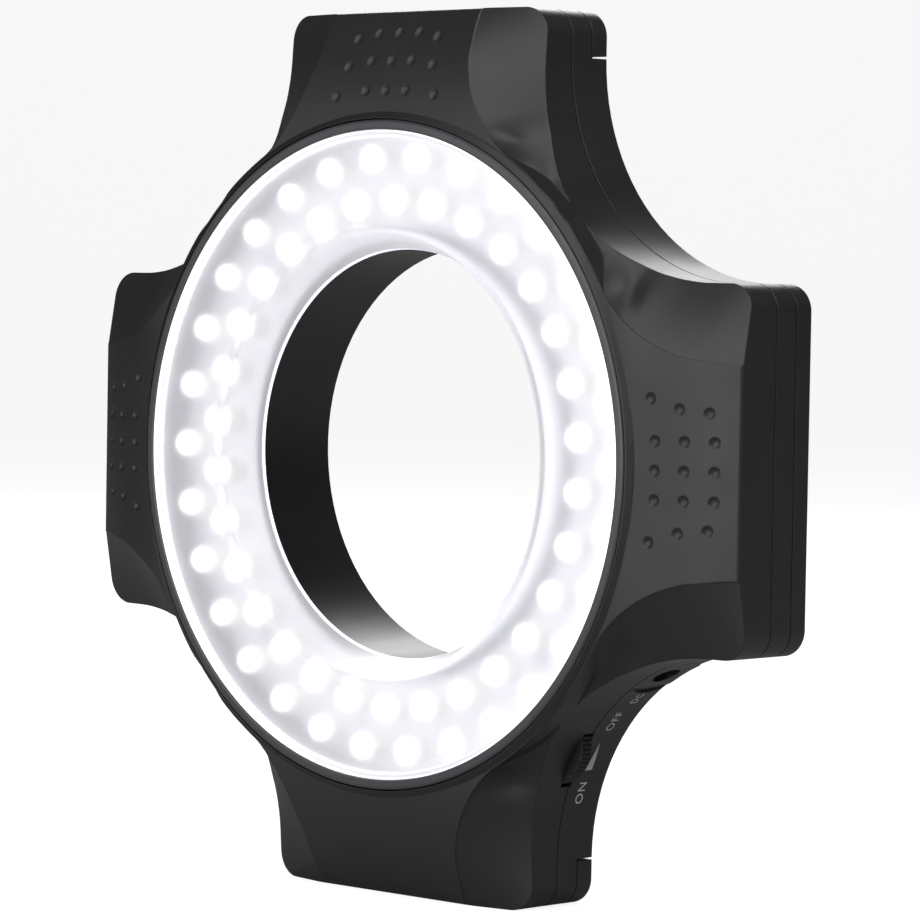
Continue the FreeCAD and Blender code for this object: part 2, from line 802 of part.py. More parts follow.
def door_clearances(quarter):
    """Room in the rear shell for one sliding door: its tongue and its cap."""
    lobe = LOBES[quarter]
    half = "door_tongue_half_width + door_gap"
    tongue = box(f"door_window_{lobe}", ("door_window_reach", OUTSIDE), (f"-({half})", half),
                 (BELOW, "rear_plate + 0.01"), quarter)
    cap = box(f"door_cap_room_{lobe}", ("door_cap_reach - door_notch", OUTSIDE), CAP_ACROSS,
              (BELOW, "door_side_height"), quarter)
    return [tongue, cap]


def driver_screw_places():
    near = polar("driver_screw_ring_near", "driver_screw_angle_near")
    far = polar("driver_screw_ring_far", "driver_screw_angle_far")
    return [near, far]


def board_screw_places():
    return [polar("board_screw_ring", f"{45 + 90 * quarter}") for quarter in QUARTERS]


def rear_shell(form):
    """Rear half: plate, side wall, bore tube, posts, bays, socket hole and wheel slot."""
    below = box("below_seam", ALL_ROUND, ALL_ROUND, (BELOW, "seam_height"))
    lower = common("lower_form", form, below)
    cavity = lobed_block("rear_cavity", "rear_plate", "seam_height + overcut", "side_wall")
    tray = cut("rear_tray", lower, cavity)

    fittings = [cylinder("bore_tube", "bore_radius + tube_wall", "0", "tube_top")]
    foot = "rear_plate - weld"
    fittings += case_posts("rear_post", "case_post_radius", foot, "seam_height")
    for number, place in enumerate(board_screw_places(), start=1):
        fittings.append(cylinder(f"board_post_{number}", "board_post_radius", foot, "board_rear", place))
    for number, place in enumerate(driver_screw_places(), start=1):
        fittings.append(cylinder(f"driver_post_{number}", "driver_post_radius", foot, "driver_rear", place))
    for quarter in QUARTERS:
        fittings += battery_bay_walls(quarter)
    boss = socket_cylinder("rear_seat_boss", "seat_radius", "seat_distance + weld", SOCKET_FRONT)
    boss_room = box("boss_room", ("0", OUTSIDE), (f"-({OUTSIDE})", "0"), (foot, "seam_height"))
    fittings.append(common("rear_seat_boss_inside", boss, boss_room))
    solid = fuse("rear_solid", tray, *fittings)

    openings = [cylinder("bore", "bore_radius", BELOW, ABOVE)]
    openings += case_posts("case_recess", "case_screw_head + case_screw_recess", BELOW, "case_screw_seat")
    openings += case_posts("case_hole", "case_screw_radius + 4 * screw_clearance", BELOW, ABOVE)
    for number, place in enumerate(board_screw_places(), start=1):
        openings.append(cylinder(f"board_pilot_{number}", "board_screw_radius + screw_clearance",
                                 "board_rear + board_thickness - board_screw_length - weld", ABOVE, place))
    for number, place in enumerate(driver_screw_places(), start=1):
        openings.append(cylinder(f"driver_pilot_{number}", "driver_screw_radius + screw_clearance",
                                 f"{DRIVER_TOP} - driver_screw_length - screw_clearance",
                                 "driver_rear + overcut", place))
    for quarter in QUARTERS:
        openings += door_clearances(quarter)
    openings.append(wheel_slot("rear_wheel_slot", "wheel_bottom - wheel_play", "seam_height + overcut"))
    openings.append(socket_cylinder("socket_hole", "socket_hole_radius", "seat_distance - seat_radius",
                                    f"{SOCKET_FRONT} + weld"))
    return cut("rear_shell_form", solid, *openings)


def seam_groove():
    """Thin shadow line round the outline where the two shells meet."""
    band = box("seam_band", ALL_ROUND, ALL_ROUND,
               ("seam_height - seam_groove / 2", "seam_height + seam_groove / 2"))
    low, high = "seam_height - seam_groove", "seam_height + seam_groove"
    core = lobed_block("seam_core", low, high, "seam_groove")
    return cut("seam_groove_ring", band, core)


def battery_door(form, quarter):
    """Door of one bay: a tongue in the rear plate and a cap round the lobe's end."""
    lobe = LOBES[quarter]
    cap_box = box(f"cap_box_{lobe}", ("door_cap_reach", OUTSIDE), CAP_ACROSS,
                  (BELOW, "door_side_height - door_gap"), quarter)
    cap = common(f"cap_{lobe}", form, cap_box)
    inside = box(f"cap_inside_{lobe}", ("door_cap_reach - overcut", "half_size - side_wall"),
                 ("-(lobe_half_width - side_wall)", "lobe_half_width - side_wall"),
                 ("door_plate", "seam_height"), quarter)
    half = "door_tongue_half_width"
    tongue = box(f"tongue_{lobe}", ("door_window_reach + door_gap", "door_cap_reach + weld"),
                 (f"-{half}", half), ("0", "door_plate"), quarter)
    lips = []
    reach = ("door_lip_start", "door_lip_end")
    lip_bottom = "rear_plate + door_lip_gap"
    lip_top = f"{lip_bottom} + door_lip_thickness"
    for side, web, lip in (
        ("near", (f"{half} - door_web", half), (f"{half} - door_web", "door_lip_half_width")),
        ("far", (f"-{half}", f"-{half} + door_web"), ("-door_lip_half_width", f"-{half} + door_web")),
    ):
        lips.append(box(f"door_web_{side}_{lobe}", reach, web, ("door_plate - weld", lip_top), quarter))
        lips.append(box(f"door_lip_{side}_{lobe}", reach, lip, (lip_bottom, lip_top), quarter))
    return fuse(f"door_{lobe}", cut(f"cap_shell_{lobe}", cap, inside), tongue, *lips)


# Window and bezel


def diffuser():
    """Translucent window: a flat ring, a cone back to the bore's tube and a low rim."""
    plate_bottom = "front_height - window_plate"
    slope = "(window_inner_radius - lip_radius) / (front_height - tube_top)"
    shoulder = f"lip_radius + cone_wall + {slope} * ({plate_bottom} - tube_top)"
    return revolved("window_form", [
        ("lip_radius", "tube_top"),
        ("lip_radius + cone_wall", "tube_top"),
        (shoulder, plate_bottom),
        ("window_radius - window_rim", plate_bottom),
        ("window_radius - window_rim", "ledge_top"),
        ("window_radius", "ledge_top"),
        ("window_radius", "front_height"),
        ("window_inner_radius", "front_height"),
    ])


def bezel_ring():
    inner = "window_radius + bezel_fit"
    outer = f"{inner} + bezel_width"
    body = revolved("bezel_form", [
        (inner, "ledge_top"),
        (outer, "ledge_top"),
        (outer, "front_height"),
        (inner, "front_height"),
    ])
    top = size("front_height")
    radius = worth(outer)

    def outer_front(edge):
        circle = edge.Curve.TypeId == "Part::GeomCircle"
        return circle and abs(edge.Curve.Radius - radius) < 0.01 and abs(edge.BoundBox.ZMin - top) < 0.01

    rounded(body, "bezel_edge", "bezel_rounding", outer_front)
    return body


# Lights


def led_bearings(row):
    """Bearings of one row's LEDs: the outer row lies half a step round from the inner."""
    count = int(size("leds_per_row"))
    half_step = 180 / count if row == "outer" else 0.0
    return [90 + half_step + 360 * number / count for number in range(count)]


def turned_copies(name, shape, bearings):
    copies = []
    for bearing in bearings:
        copy = shape.copy()
        copy.rotate(Vector(0, 0, 0), UP, bearing)
        copies.append(copy)
    return feature(name, Part.makeCompound(copies))


def led_row(row):
    """Round LEDs standing on the board, each with a flange, a domed lens and two legs."""
    board_front = size("board_rear") + size("board_thickness")
    ring = size(f"{row}_row_radius")
    foot = Vector(ring, 0, board_front)
    straight = size("led_length") - size("led_radius")
    lens = Part.makeCylinder(size("led_radius"), straight, foot)
    dome = Part.makeSphere(size("led_radius"), foot + Vector(0, 0, straight))
    flange = Part.makeCylinder(size("led_flange_radius"), size("led_flange"), foot)
    legs = []
    for side in (-0.5, 0.5):
        leg_foot = foot + Vector(side * size("leg_spacing"), 0, -size("leg_length"))
        legs.append(Part.makeCylinder(size("leg_radius"), size("leg_length") + 0.2, leg_foot))
    led = lens.fuse([dome, flange, *legs]).removeSplitter()
    return turned_copies(f"{row}_row", led, led_bearings(row))


def row_holes(name, radius, bottom, top, offset=0.0):
    """Round holes at every LED of both rows, moved out along the radius by an offset."""
    holes = []
    for row in ("inner", "outer"):
        ring = size(f"{row}_row_radius") + offset
        for bearing in led_bearings(row):
            foot = facing(bearing) * ring
            holes.append(Part.makeCylinder(radius, top - bottom, Vector(foot.x, foot.y, bottom)))
    return feature(name, Part.makeCompound(holes))


def led_board():
    top = "board_rear + board_thickness"
    disc = cylinder("board_disc", "board_outer_radius", "board_rear", top)
    tools = [cylinder("board_centre", "board_inner_radius", "board_rear - 1", f"{top} + 1")]
    low = size("board_rear") - 1
    high = worth(top) + 1
    hole = size("leg_radius") + size("leg_clearance")
    for side in (-0.5, 0.5):
        tools.append(row_holes(f"leg_holes_{len(tools)}", hole, low, high, side * size("leg_spacing")))
    for number, place in enumerate(board_screw_places(), start=1):
        tools.append(cylinder(f"board_hole_{number}", "board_screw_radius + 4 * screw_clearance",
                              "board_rear - 1", f"{top} + 1", place))
    return cut("led_board_form", disc, *tools)


def reflector_plate():
    """White sheet that lies on the LED flanges, with a hole for each lens."""
    bottom = "board_rear + board_thickness + led_flange"
    top = f"{bottom} + reflector_thickness"
    disc = cylinder("reflector_disc", "board_outer_radius", bottom, top)
    tools = [cylinder("reflector_centre", "board_inner_radius", f"{bottom} - 1", f"{top} + 1")]
    tools.append(row_holes("lens_holes", size("led_radius") + size("reflector_clearance"),
                           worth(bottom) - 1, worth(top) + 1))
    for number, place in enumerate(board_screw_places(), start=1):
        tools.append(cylinder(f"reflector_hole_{number}", "board_screw_head + door_gap",
                              f"{bottom} - 1", f"{top} + 1", place))
    return cut("reflector_form", disc, *tools)


def led_resistors():
    boxes = []
    count = int(size("resistor_count"))
    for number in range(count):
        boxes.append(centred_box(f"resistor_{number + 1}", "resistor_length", "resistor_width",
                                 "board_rear - resistor_thickness", "board_rear", "resistor_ring",
                                 f"resistor_start + {360 * number / count}"))
    return boxes


# Screws


def screw(name, place, radius, head_radius, head_height, seat, length, head_up):
    """Pan-head screw: the head lies against its seat and the shank goes the other way."""
    if head_up:
        head_range = (seat, f"{seat} + {head_height}")
        shank_range = (f"{seat} - {length}", f"{seat} + weld")
    else:
        head_range = (f"{seat} - {head_height}", seat)
        shank_range = (f"{seat} - weld", f"{seat} + {length}")
    head = cylinder(f"{name}_head", head_radius, *head_range, place)
    shank = cylinder(f"{name}_shank", radius, *shank_range, place)
    return fuse(name, head, shank)


def case_screws():
    screws = []
    for quarter in QUARTERS:
        for sign in ("", "-"):
            place = quarter_turned("case_post_reach", f"{sign}case_post_across", quarter)
            name = f"case_screw_{len(screws) + 1}"
            screws.append(screw(name, place, "case_screw_radius", "case_screw_head",
                                "case_screw_head_height", "case_screw_seat", "case_screw_length", False))
    return screws


def board_screws():
    return [
        screw(f"board_screw_{number}", place, "board_screw_radius", "board_screw_head", "led_flange",
              "(board_rear + board_thickness)", "board_screw_length", True)
        for number, place in enumerate(board_screw_places(), start=1)
    ]


def driver_screws():
    return [
        screw(f"driver_screw_{number}", place, "driver_screw_radius", "driver_screw_head",
              "driver_screw_head_height", "(driver_rear + driver_thickness)", "driver_screw_length", True)
        for number, place in enumerate(driver_screw_places(), start=1)
    ]


# Cells and their contacts


def battery_cell(quarter):
    """One AA cell, lying across its lobe with the nub at the far end."""
    lobe = LOBES[quarter]
    body = revolved(f"cell_{lobe}", [
        ("0", "0"),
        ("cell_radius", "0"),
        ("cell_radius", "cell_length - cell_nub_length"),
        ("cell_nub_radius", "cell_length - cell_nub_length"),
        ("cell_nub_radius", "cell_length"),
        ("0", "cell_length"),
    ])
    lie = Placement(Vector(size("cell_reach"), -size("cell_length") / 2, size("cell_height")),
                    Rotation(Vector(1, 0, 0), -90))
    body.Placement = Placement(Vector(0, 0, 0), Rotation(UP, 90 * quarter)) * lie
    return body


def contact_plates():
    """Two plates in each bay, with a tab that reaches over the bay's inner wall."""
    plates = []
    for quarter in QUARTERS:
        for end, low in (("nub", "cell_length / 2"),
                         ("spring", "-(cell_length / 2 + spring_room + contact_thickness)")):
            name = f"contact_{end}_{LOBES[quarter]}"
            across = (low, f"{low} + contact_thickness")
            inner = "bay_inner_wall + bay_wall"
            outer = "half_size - corner_radius"
            face = box(f"{name}_face", (f"{inner} + contact_edge_gap", f"{outer} - contact_edge_gap"),
                       across, ("contact_bottom", "contact_top"), quarter)
            tab = box(f"{name}_tab", ("contact_tab_reach", f"{inner} + 2 * contact_edge_gap"),
                      across, ("contact_tab_bottom", "contact_top"), quarter)
            plates.append(fuse(name, face, tab))
    return plates


def contact_springs():
    """Coil between each cell's flat end and its contact plate, made of quarter turns."""
    wire = size("spring_wire")
    radius = size("spring_radius")
    turns = int(size("spring_turns"))
    rise = size("spring_room") - 2 * wire

    def coil_point(step):
        turn = math.pi / 2 * step
        return Vector(radius * math.cos(turn), radius * math.sin(turn), rise * step / (4 * turns))

    arcs = [
        Part.Arc(coil_point(step), coil_point(step + 0.5), coil_point(step + 1)).toShape()
        for step in range(4 * turns)
    ]
    section = Part.Wire(Part.makeCircle(wire, coil_point(0), arcs[0].tangentAt(arcs[0].FirstParameter)))
    coil = Part.Wire(arcs).makePipeShell([section], True, False)
    springs = []
    for quarter in QUARTERS:
        foot_across = -size("cell_length") / 2 - size("spring_room") + wire
        foot = Vector(size("cell_reach"), foot_across, size("cell_height"))
        lie = Placement(foot, Rotation(Vector(1, 0, 0), -90))
        copy = coil.copy()
        copy.Placement = Placement(Vector(0, 0, 0), Rotation(UP, 90 * quarter)) * lie
        springs.append(copy)
    return feature("contact_coils", Part.makeCompound(springs))


def battery_leads():
    """Short insulated leads from the contact tabs, bent up to the LED board's rear."""
    radius = size("lead_radius")
    height = size("lead_height")
    bend = size("board_rear") - height
    nub_across = worth("(cell_length + contact_thickness) / 2")
    spring_across = worth("-(cell_length / 2 + spring_room + contact_thickness / 2)")
    leads = []
    for quarter in QUARTERS:
        for across in (nub_across, spring_across):
            end_reach = math.sqrt(size("lead_board_ring") ** 2 - across ** 2)
            start = Vector(size("contact_tab_reach"), across, height)
            turn = Vector(end_reach + bend, across, height)
            middle = turn + Vector(-bend * math.sin(math.pi / 4), 0, bend * (1 - math.cos(math.pi / 4)))
            end = Vector(end_reach, across, size("board_rear"))
            run, rise = Part.LineSegment(start, turn), Part.Arc(turn, middle, end)
            path = Part.Wire([run.toShape(), rise.toShape()])
            section = Part.Wire(Part.makeCircle(radius, start, Vector(1, 0, 0)))
            lead = path.makePipeShell([section], True, False)
            lead.rotate(Vector(0, 0, 0), UP, 90 * quarter)
            leads.append(lead)
    return feature("leads", Part.makeCompound(leads))


# Driver board and dimmer

SHAFT_FOOT = f"{DRIVER_TOP} + shaft_clearance"


def driver_board():
    """Part of a ring behind the wheel, cut clear of the side wall, posts and socket."""
    whole = sector("driver_sector", "driver_outer_radius", "driver_rear", DRIVER_TOP,
                   "driver_start", "driver_end")
    low, high = "driver_rear - overcut", f"{DRIVER_TOP} + overcut"
    tools = [
        cylinder("driver_centre", "driver_inner_radius", low, high),
        cylinder("driver_side", "arc_radius + side_wall + driver_wall_gap", low, high, SIDE_ARC),
        cylinder("driver_post_hole", "board_post_radius + door_gap", low, high, board_screw_places()[3]),
        socket_box("driver_notch", ("seat_distance", f"{SOCKET_FRONT} + socket_length + socket_notch_gap"),
                   ("-socket_width / 2 - socket_notch_gap", "socket_width / 2 + socket_notch_gap"),
                   ("-socket_height", "socket_height")),
        socket_box("driver_boss_notch", ("seat_distance", f"{SOCKET_FRONT} + socket_notch_gap"),
                   ("-seat_radius - socket_notch_gap", "seat_radius + socket_notch_gap"),
                   ("-socket_height", "socket_height")),
    ]
    for number, place in enumerate(driver_screw_places(), start=1):
        hole_radius = "driver_screw_radius + 3 * screw_clearance"
        tools.append(cylinder(f"driver_hole_{number}", hole_radius, low, high, place))
    return cut("driver_board_form", whole, *tools)


def dimmer_wheel():
    """Thumbwheel with shallow ribs round its edge and a bore for the shaft."""
    body = doc.addObject("PartDesign::Body", "wheel_form")
    rim = sketch_on(body, "wheel_rim", "XY_Plane")
    for formula in ("wheel_radius", "shaft_radius + shaft_clearance"):
        ring = rim.addGeometry(Part.Circle(Vector(0, 0, 0), UP, worth(formula)), False)
        rim.addConstraint(Sketcher.Constraint("Coincident", ring, 3, -1, 1))
        number = rim.addConstraint(Sketcher.Constraint("Radius", ring, worth(formula)))
        rim.setExpression(f"Constraints[{number}]", bound(formula))
    pad = body.newObject("PartDesign::Pad", "wheel_pad")
    pad.Profile = rim
    bind(pad, Length="wheel_thickness")
    groove = sketch_on(body, "wheel_groove", "XY_Plane", "wheel_thickness")
    depth = "wheel_rib_depth"
    polygon(groove, [
        (f"wheel_radius - {depth}", "0"),
        (f"wheel_radius + {depth}", f"-{depth}"),
        (f"wheel_radius + {depth}", depth),
    ])
    pocket = body.newObject("PartDesign::Pocket", "wheel_groove_cut")
    pocket.Profile = groove
    pocket.Type = 1
    polar_pattern(body, "wheel_grooves", pocket, "wheel_ribs")
    middle = Vector(worth(WHEEL_PLACE[0]), worth(WHEEL_PLACE[1]), size("wheel_bottom"))
    body.Placement = Placement(middle, Rotation())
    return body


def dimmer_pot():
    body = cylinder("pot_body", "pot_radius", DRIVER_TOP, f"{DRIVER_TOP} + pot_height", WHEEL_PLACE)
    bore = cylinder("pot_bore", "shaft_radius + shaft_clearance", SHAFT_FOOT, ABOVE, WHEEL_PLACE)
    return cut("pot_form", body, bore)


def power_socket():
    """Socket body with its bore and the two lugs that rest on the driver board."""
    front = SOCKET_FRONT
    half = "socket_width / 2"
    tall = "socket_body_height / 2"
    block = socket_box("socket_block", (front, f"{front} + socket_length"),
                       (f"-{half}", half), (f"-{tall}", tall))
    lug_start = f"{front} + socket_lug_setback"
    lug_reach = (lug_start, f"{lug_start} + socket_lug_length")
    lug_bottom = f"{DRIVER_TOP} - socket_height"
    lug_height = (lug_bottom, f"{lug_bottom} + socket_lug_height")
    near = (f"{half} - weld", f"{half} + socket_lug_width")
    far = (f"-{half} - socket_lug_width", f"-{half} + weld")
    lugs = [
        socket_box("socket_lug_near", lug_reach, near, lug_height),
        socket_box("socket_lug_far", lug_reach, far, lug_height),
    ]
    bore = socket_cylinder("socket_bore", "socket_hole_radius", f"{front} - overcut",
                           f"{front} + socket_bore_depth")
    return cut("socket_form", fuse("socket_with_lugs", block, *lugs), bore)


def socket_pin():
    front = SOCKET_FRONT
    return socket_cylinder("pin", "socket_pin_radius", f"{front} + socket_pin_setback",
                           f"{front} + socket_bore_depth")


def socket_leaf():
    """Leaf contact along the bottom of the socket's bore."""
    front = SOCKET_FRONT
    bottom = "-(socket_hole_radius - leaf_clearance)"
    return socket_box("leaf", (f"{front} + socket_pin_setback", f"{front} + socket_bore_depth"),
                      ("-leaf_width / 2", "leaf_width / 2"), (bottom, f"{bottom} + leaf_thickness"))


# The part

form = outer_form()
groove = seam_groove()
subpart("front_shell", cut("front_shell_grooved", front_shell(form), groove))
subpart("rear_shell", cut("rear_shell_grooved", rear_shell(form), groove))
subpart("bezel_ring", bezel_ring())
subpart("diffuser", diffuser())
subpart("reflector_plate", reflector_plate())
subpart("led_board", led_board())
subpart("led_outer_row", led_row("outer"))
subpart("led_inner_row", led_row("inner"))
subpart("led_resistors", *led_resistors())
for quarter in QUARTERS:
    subpart(f"battery_door_{LOBES[quarter]}", battery_door(form, quarter))
    subpart(f"battery_cell_{LOBES[quarter]}", battery_cell(quarter))
subpart("contact_plates", *contact_plates())
subpart("contact_springs", contact_springs())
subpart("battery_leads", battery_leads())
subpart("driver_board", driver_board())
subpart("driver_chip", centred_box("chip", "chip_length", "chip_width", DRIVER_TOP,
                                   f"{DRIVER_TOP} + chip_height", "parts_ring", "chip_angle"))
subpart("driver_capacitor", cylinder(
    "capacitor", "capacitor_radius", DRIVER_TOP, f"{DRIVER_TOP} + capacitor_height",
    polar("parts_ring", "capacitor_angle")))
subpart("driver_inductor", cylinder("inductor", "inductor_radius", DRIVER_TOP,
                                    f"{DRIVER_TOP} + inductor_height", polar("parts_ring", "inductor_angle")))
subpart("board_link", centred_box("link", "link_length", "link_width", DRIVER_TOP, "board_rear",
                                  "link_ring", "link_angle"))
subpart("dimmer_wheel", dimmer_wheel())
subpart("dimmer_shaft", cylinder("shaft", "shaft_radius", SHAFT_FOOT, "wheel_bottom + wheel_thickness",
                                 WHEEL_PLACE))
subpart("dimmer_pot", dimmer_pot())
subpart("dc_socket_body", power_socket())
subpart("dc_socket_pin", socket_pin())
subpart("dc_socket_leaf", socket_leaf())
subpart("case_screws", *case_screws())
subpart("board_screws", *board_screws())
subpart("driver_screws", *driver_screws())
doc.recompute()

failed = [item.Label for item in doc.Objects if "Invalid" in item.State or "Error" in item.State]
for item in finished:
    if item.Shape.isNull() or not item.Shape.isValid():
        failed.append(item.Label)
if failed:
    print("Not sound:", ", ".join(failed))
    sys.exit(1)

os.makedirs("parts", exist_ok=True)
for item in finished:
    item.Shape.exportStep(f"parts/{item.Label}.step")
    reach = item.Shape.BoundBox
    print(f"{item.Label}: {len(item.Shape.Solids)} solids, {item.Shape.Volume:.0f} mm3, "
          f"{reach.XLength:.1f} x {reach.YLength:.1f} x {reach.ZLength:.1f} mm")
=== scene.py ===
# %% [markdown]
# # An LED ring light
# The real object is a flat black housing with four lobes round a bore that slips over a
# camera lens. A translucent window glows over two rings of LEDs. This lesson dresses the
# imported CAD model: it adds a camera, a studio, materials, and finer copies of the pieces
# that show. The frame is in metres, +Z is up and the lit front looks along -Y. Sizes are
# written in millimetres here, and a height is counted forwards from the rear face.

import json
import math

import bmesh
import bpy
from mathutils import Matrix, Vector


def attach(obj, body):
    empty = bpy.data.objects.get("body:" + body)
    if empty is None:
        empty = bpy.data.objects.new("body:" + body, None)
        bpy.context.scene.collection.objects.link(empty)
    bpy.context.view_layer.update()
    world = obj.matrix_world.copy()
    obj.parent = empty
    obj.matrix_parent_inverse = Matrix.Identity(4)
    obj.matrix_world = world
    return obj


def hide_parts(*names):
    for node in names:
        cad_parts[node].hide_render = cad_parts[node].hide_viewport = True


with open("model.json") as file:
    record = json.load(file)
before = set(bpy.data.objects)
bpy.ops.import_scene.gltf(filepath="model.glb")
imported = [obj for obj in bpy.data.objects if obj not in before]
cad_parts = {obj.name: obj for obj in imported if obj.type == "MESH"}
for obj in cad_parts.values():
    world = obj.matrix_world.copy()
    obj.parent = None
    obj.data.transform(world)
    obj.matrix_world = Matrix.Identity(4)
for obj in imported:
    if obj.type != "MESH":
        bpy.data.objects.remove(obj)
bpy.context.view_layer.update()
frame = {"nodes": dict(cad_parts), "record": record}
nodes = frame["nodes"]
slots = {part["node"]: part["material_slot"] for part in frame["record"]["subparts"]}
MM = 0.001
FULL_TURN = 2 * math.pi

# %% [markdown]
# ## The camera
# The photograph is a long-lens view from the front right, about 0.8 m away and a little
# above the middle. LOOK_BACK points from the light to the camera, SWING turns the picture's
# level line about the upright axis, and ROLL tips it. The lens length follows from how many
# pixels one radian covers.

# %% Camera
LOOK_BACK = Vector((0.68912, -0.72335, 0.04339))
SWING, ROLL = 0.7612, 0.0171
FOCAL_PIXELS, IMAGE_PIXELS = 4281.29, 920
SENSOR_WIDTH = 36
CLIP_START, CLIP_END = 0.05, 20
VIEW_CENTRE = Vector((23.3, -27.7, 0.04)) * MM
DISTANCE = 801.5 * MM


def add_camera():
    level = Vector((math.cos(SWING), math.sin(SWING), 0))
    upright = LOOK_BACK.cross(level)
    side = math.cos(ROLL) * level + math.sin(ROLL) * upright
    top = -math.sin(ROLL) * level + math.cos(ROLL) * upright
    data = bpy.data.cameras.new("camera")
    data.sensor_width = SENSOR_WIDTH
    data.lens = FOCAL_PIXELS * data.sensor_width / IMAGE_PIXELS
    data.clip_start, data.clip_end = CLIP_START, CLIP_END
    camera = bpy.data.objects.new("camera", data)
    axes = Matrix((side, top, LOOK_BACK)).transposed().to_4x4()
    camera.matrix_world = Matrix.Translation(VIEW_CENTRE + LOOK_BACK * DISTANCE) @ axes
    bpy.context.collection.objects.link(camera)
    bpy.context.scene.camera = camera
    return camera


camera = add_camera()
bpy.context.scene.view_settings.view_transform = "Standard"
print("camera at", [round(v, 4) for v in camera.location], "lens", round(camera.data.lens, 1), "mm")

# %% [markdown]
# ## Building trees of nodes
# Materials and Geometry Nodes are both trees. A few helpers keep them readable: each adds
# one node or a short row of them, and every input takes either a plain value or the output
# of another node.

# %% Tree helpers
def plug(tree, socket, value):
    if isinstance(value, bpy.types.NodeSocket):
        tree.links.new(value, socket)
    elif value is not None:
        socket.default_value = value


def node(tree, kind, inputs=None, **settings):
    item = tree.nodes.new(kind)
    for key, setting in settings.items():
        setattr(item, key, setting)
    for key, value in (inputs or {}).items():
        plug(tree, item.inputs[key], value)
    return item


def maths(tree, operation, *values):
    item = tree.nodes.new("ShaderNodeMath")
    item.operation = operation
    for socket, value in zip(item.inputs, values):
        plug(tree, socket, value)
    return item.outputs[0]


def colours(tree, share, first, second):
    """A colour between two others; a Mix node's colour sockets come after its number ones."""
    mix = node(tree, "ShaderNodeMix", {0: share, 6: first, 7: second}, data_type="RGBA")
    return mix.outputs[2]


def numbers(tree, share, first, second):
    return node(tree, "ShaderNodeMix", {0: share, 2: first, 3: second}).outputs[0]


def spread(tree, value, low, high):
    """0 where a value is at low, 1 where it is at high, and straight between."""
    span = {"Value": value, "From Min": low, "From Max": high}
    return node(tree, "ShaderNodeMapRange", span).outputs[0]


def own_place(tree):
    """Where a point is in its piece, so that a pattern moves with a piece that moves."""
    return node(tree, "ShaderNodeTexCoord").outputs["Object"]


def own_axes(tree):
    split = node(tree, "ShaderNodeSeparateXYZ", {0: own_place(tree)})
    return split.outputs["X"], split.outputs["Y"], split.outputs["Z"]


def length_of(tree, *offsets):
    squares = [maths(tree, "MULTIPLY", offset, offset) for offset in offsets]
    return maths(tree, "SQRT", maths(tree, "ADD", *squares))


def bump(tree, shader, height, strength, depth, normal=None):
    """Feeds a shader's Normal from a height whose full depth is given in millimetres."""
    item = node(tree, "ShaderNodeBump", {
        "Height": height, "Strength": strength, "Distance": depth * MM, "Normal": normal})
    plug(tree, shader.inputs["Normal"], item.outputs["Normal"])


def grey(level, tint=(1.0, 1.0, 1.0)):
    return (level * tint[0], level * tint[1], level * tint[2], 1.0)


def material(name, **sockets):
    """A new material; its Principled BSDF's own sockets are set by name, underscores for spaces."""
    item = bpy.data.materials.new(name)
    item.use_nodes = True
    tree = item.node_tree
    shader = tree.nodes["Principled BSDF"]
    for key, value in sockets.items():
        shader.inputs[key.replace("_", " ")].default_value = value
    return item, tree, shader


print("helpers ready; view transform:", bpy.context.scene.view_settings.view_transform)

# %% [markdown]
# ## Shared effects
# Moulded plastic has a fine grain from its steel mould, hands polish it unevenly, and no
# moulded edge is truly sharp. Each effect is a node group with named sockets, made once.
# The groups put out only values and normals that change over the surface, and each
# material feeds them to its own Base Color, Roughness and Bump nodes.

# %% Node group: fine grain
def new_group(name, inputs, outputs):
    tree = bpy.data.node_groups.new(name, "ShaderNodeTree")
    sockets = tree.interface
    for title, default in inputs:
        socket = sockets.new_socket(title, in_out="INPUT", socket_type="NodeSocketFloat")
        socket.default_value = default
    for title, kind in outputs:
        sockets.new_socket(title, in_out="OUTPUT", socket_type=kind)
    return tree, tree.nodes.new("NodeGroupInput"), tree.nodes.new("NodeGroupOutput")


def use(tree, group, **values):
    item = tree.nodes.new("ShaderNodeGroup")
    item.node_tree = group
    for key, value in values.items():
        plug(tree, item.inputs[key.replace("_", " ")], value)
    return item


FINER_BY = 2.7
TONES_PER_METRE = 38.0


def grain_group():
    """Rounded pits of one size with a finer roughness over them, and a broad change of tone."""
    tree, start, end = new_group(
        "moulded_grain", [("Grains per metre", 2600.0), ("Fine share", 0.35)],
        [("Height", "NodeSocketFloat"), ("Tone", "NodeSocketFloat")])
    place = own_place(tree)
    coarse = start.outputs["Grains per metre"]
    finer = maths(tree, "MULTIPLY", coarse, FINER_BY)
    pits, fine, broad = (
        node(tree, "ShaderNodeTexNoise", {"Vector": place, "Scale": scale, "Detail": detail})
        for scale, detail in ((coarse, 1.0), (finer, 0.0), (TONES_PER_METRE, 3.0)))
    height = numbers(tree, start.outputs["Fine share"], pits.outputs["Fac"], fine.outputs["Fac"])
    plug(tree, end.inputs["Height"], height)
    plug(tree, end.inputs["Tone"], broad.outputs["Fac"])
    return tree


GRAIN = grain_group()
print("group:", GRAIN.name, [socket.name for socket in GRAIN.interface.items_tree])

# %% Node group: handling marks
PATCH_STRETCH, PATCH_TURN = (1.0, 0.6, 1.7), (0.4, 0.2, 0.7)
PATCH_FROM, PATCH_TO = 0.42, 0.68


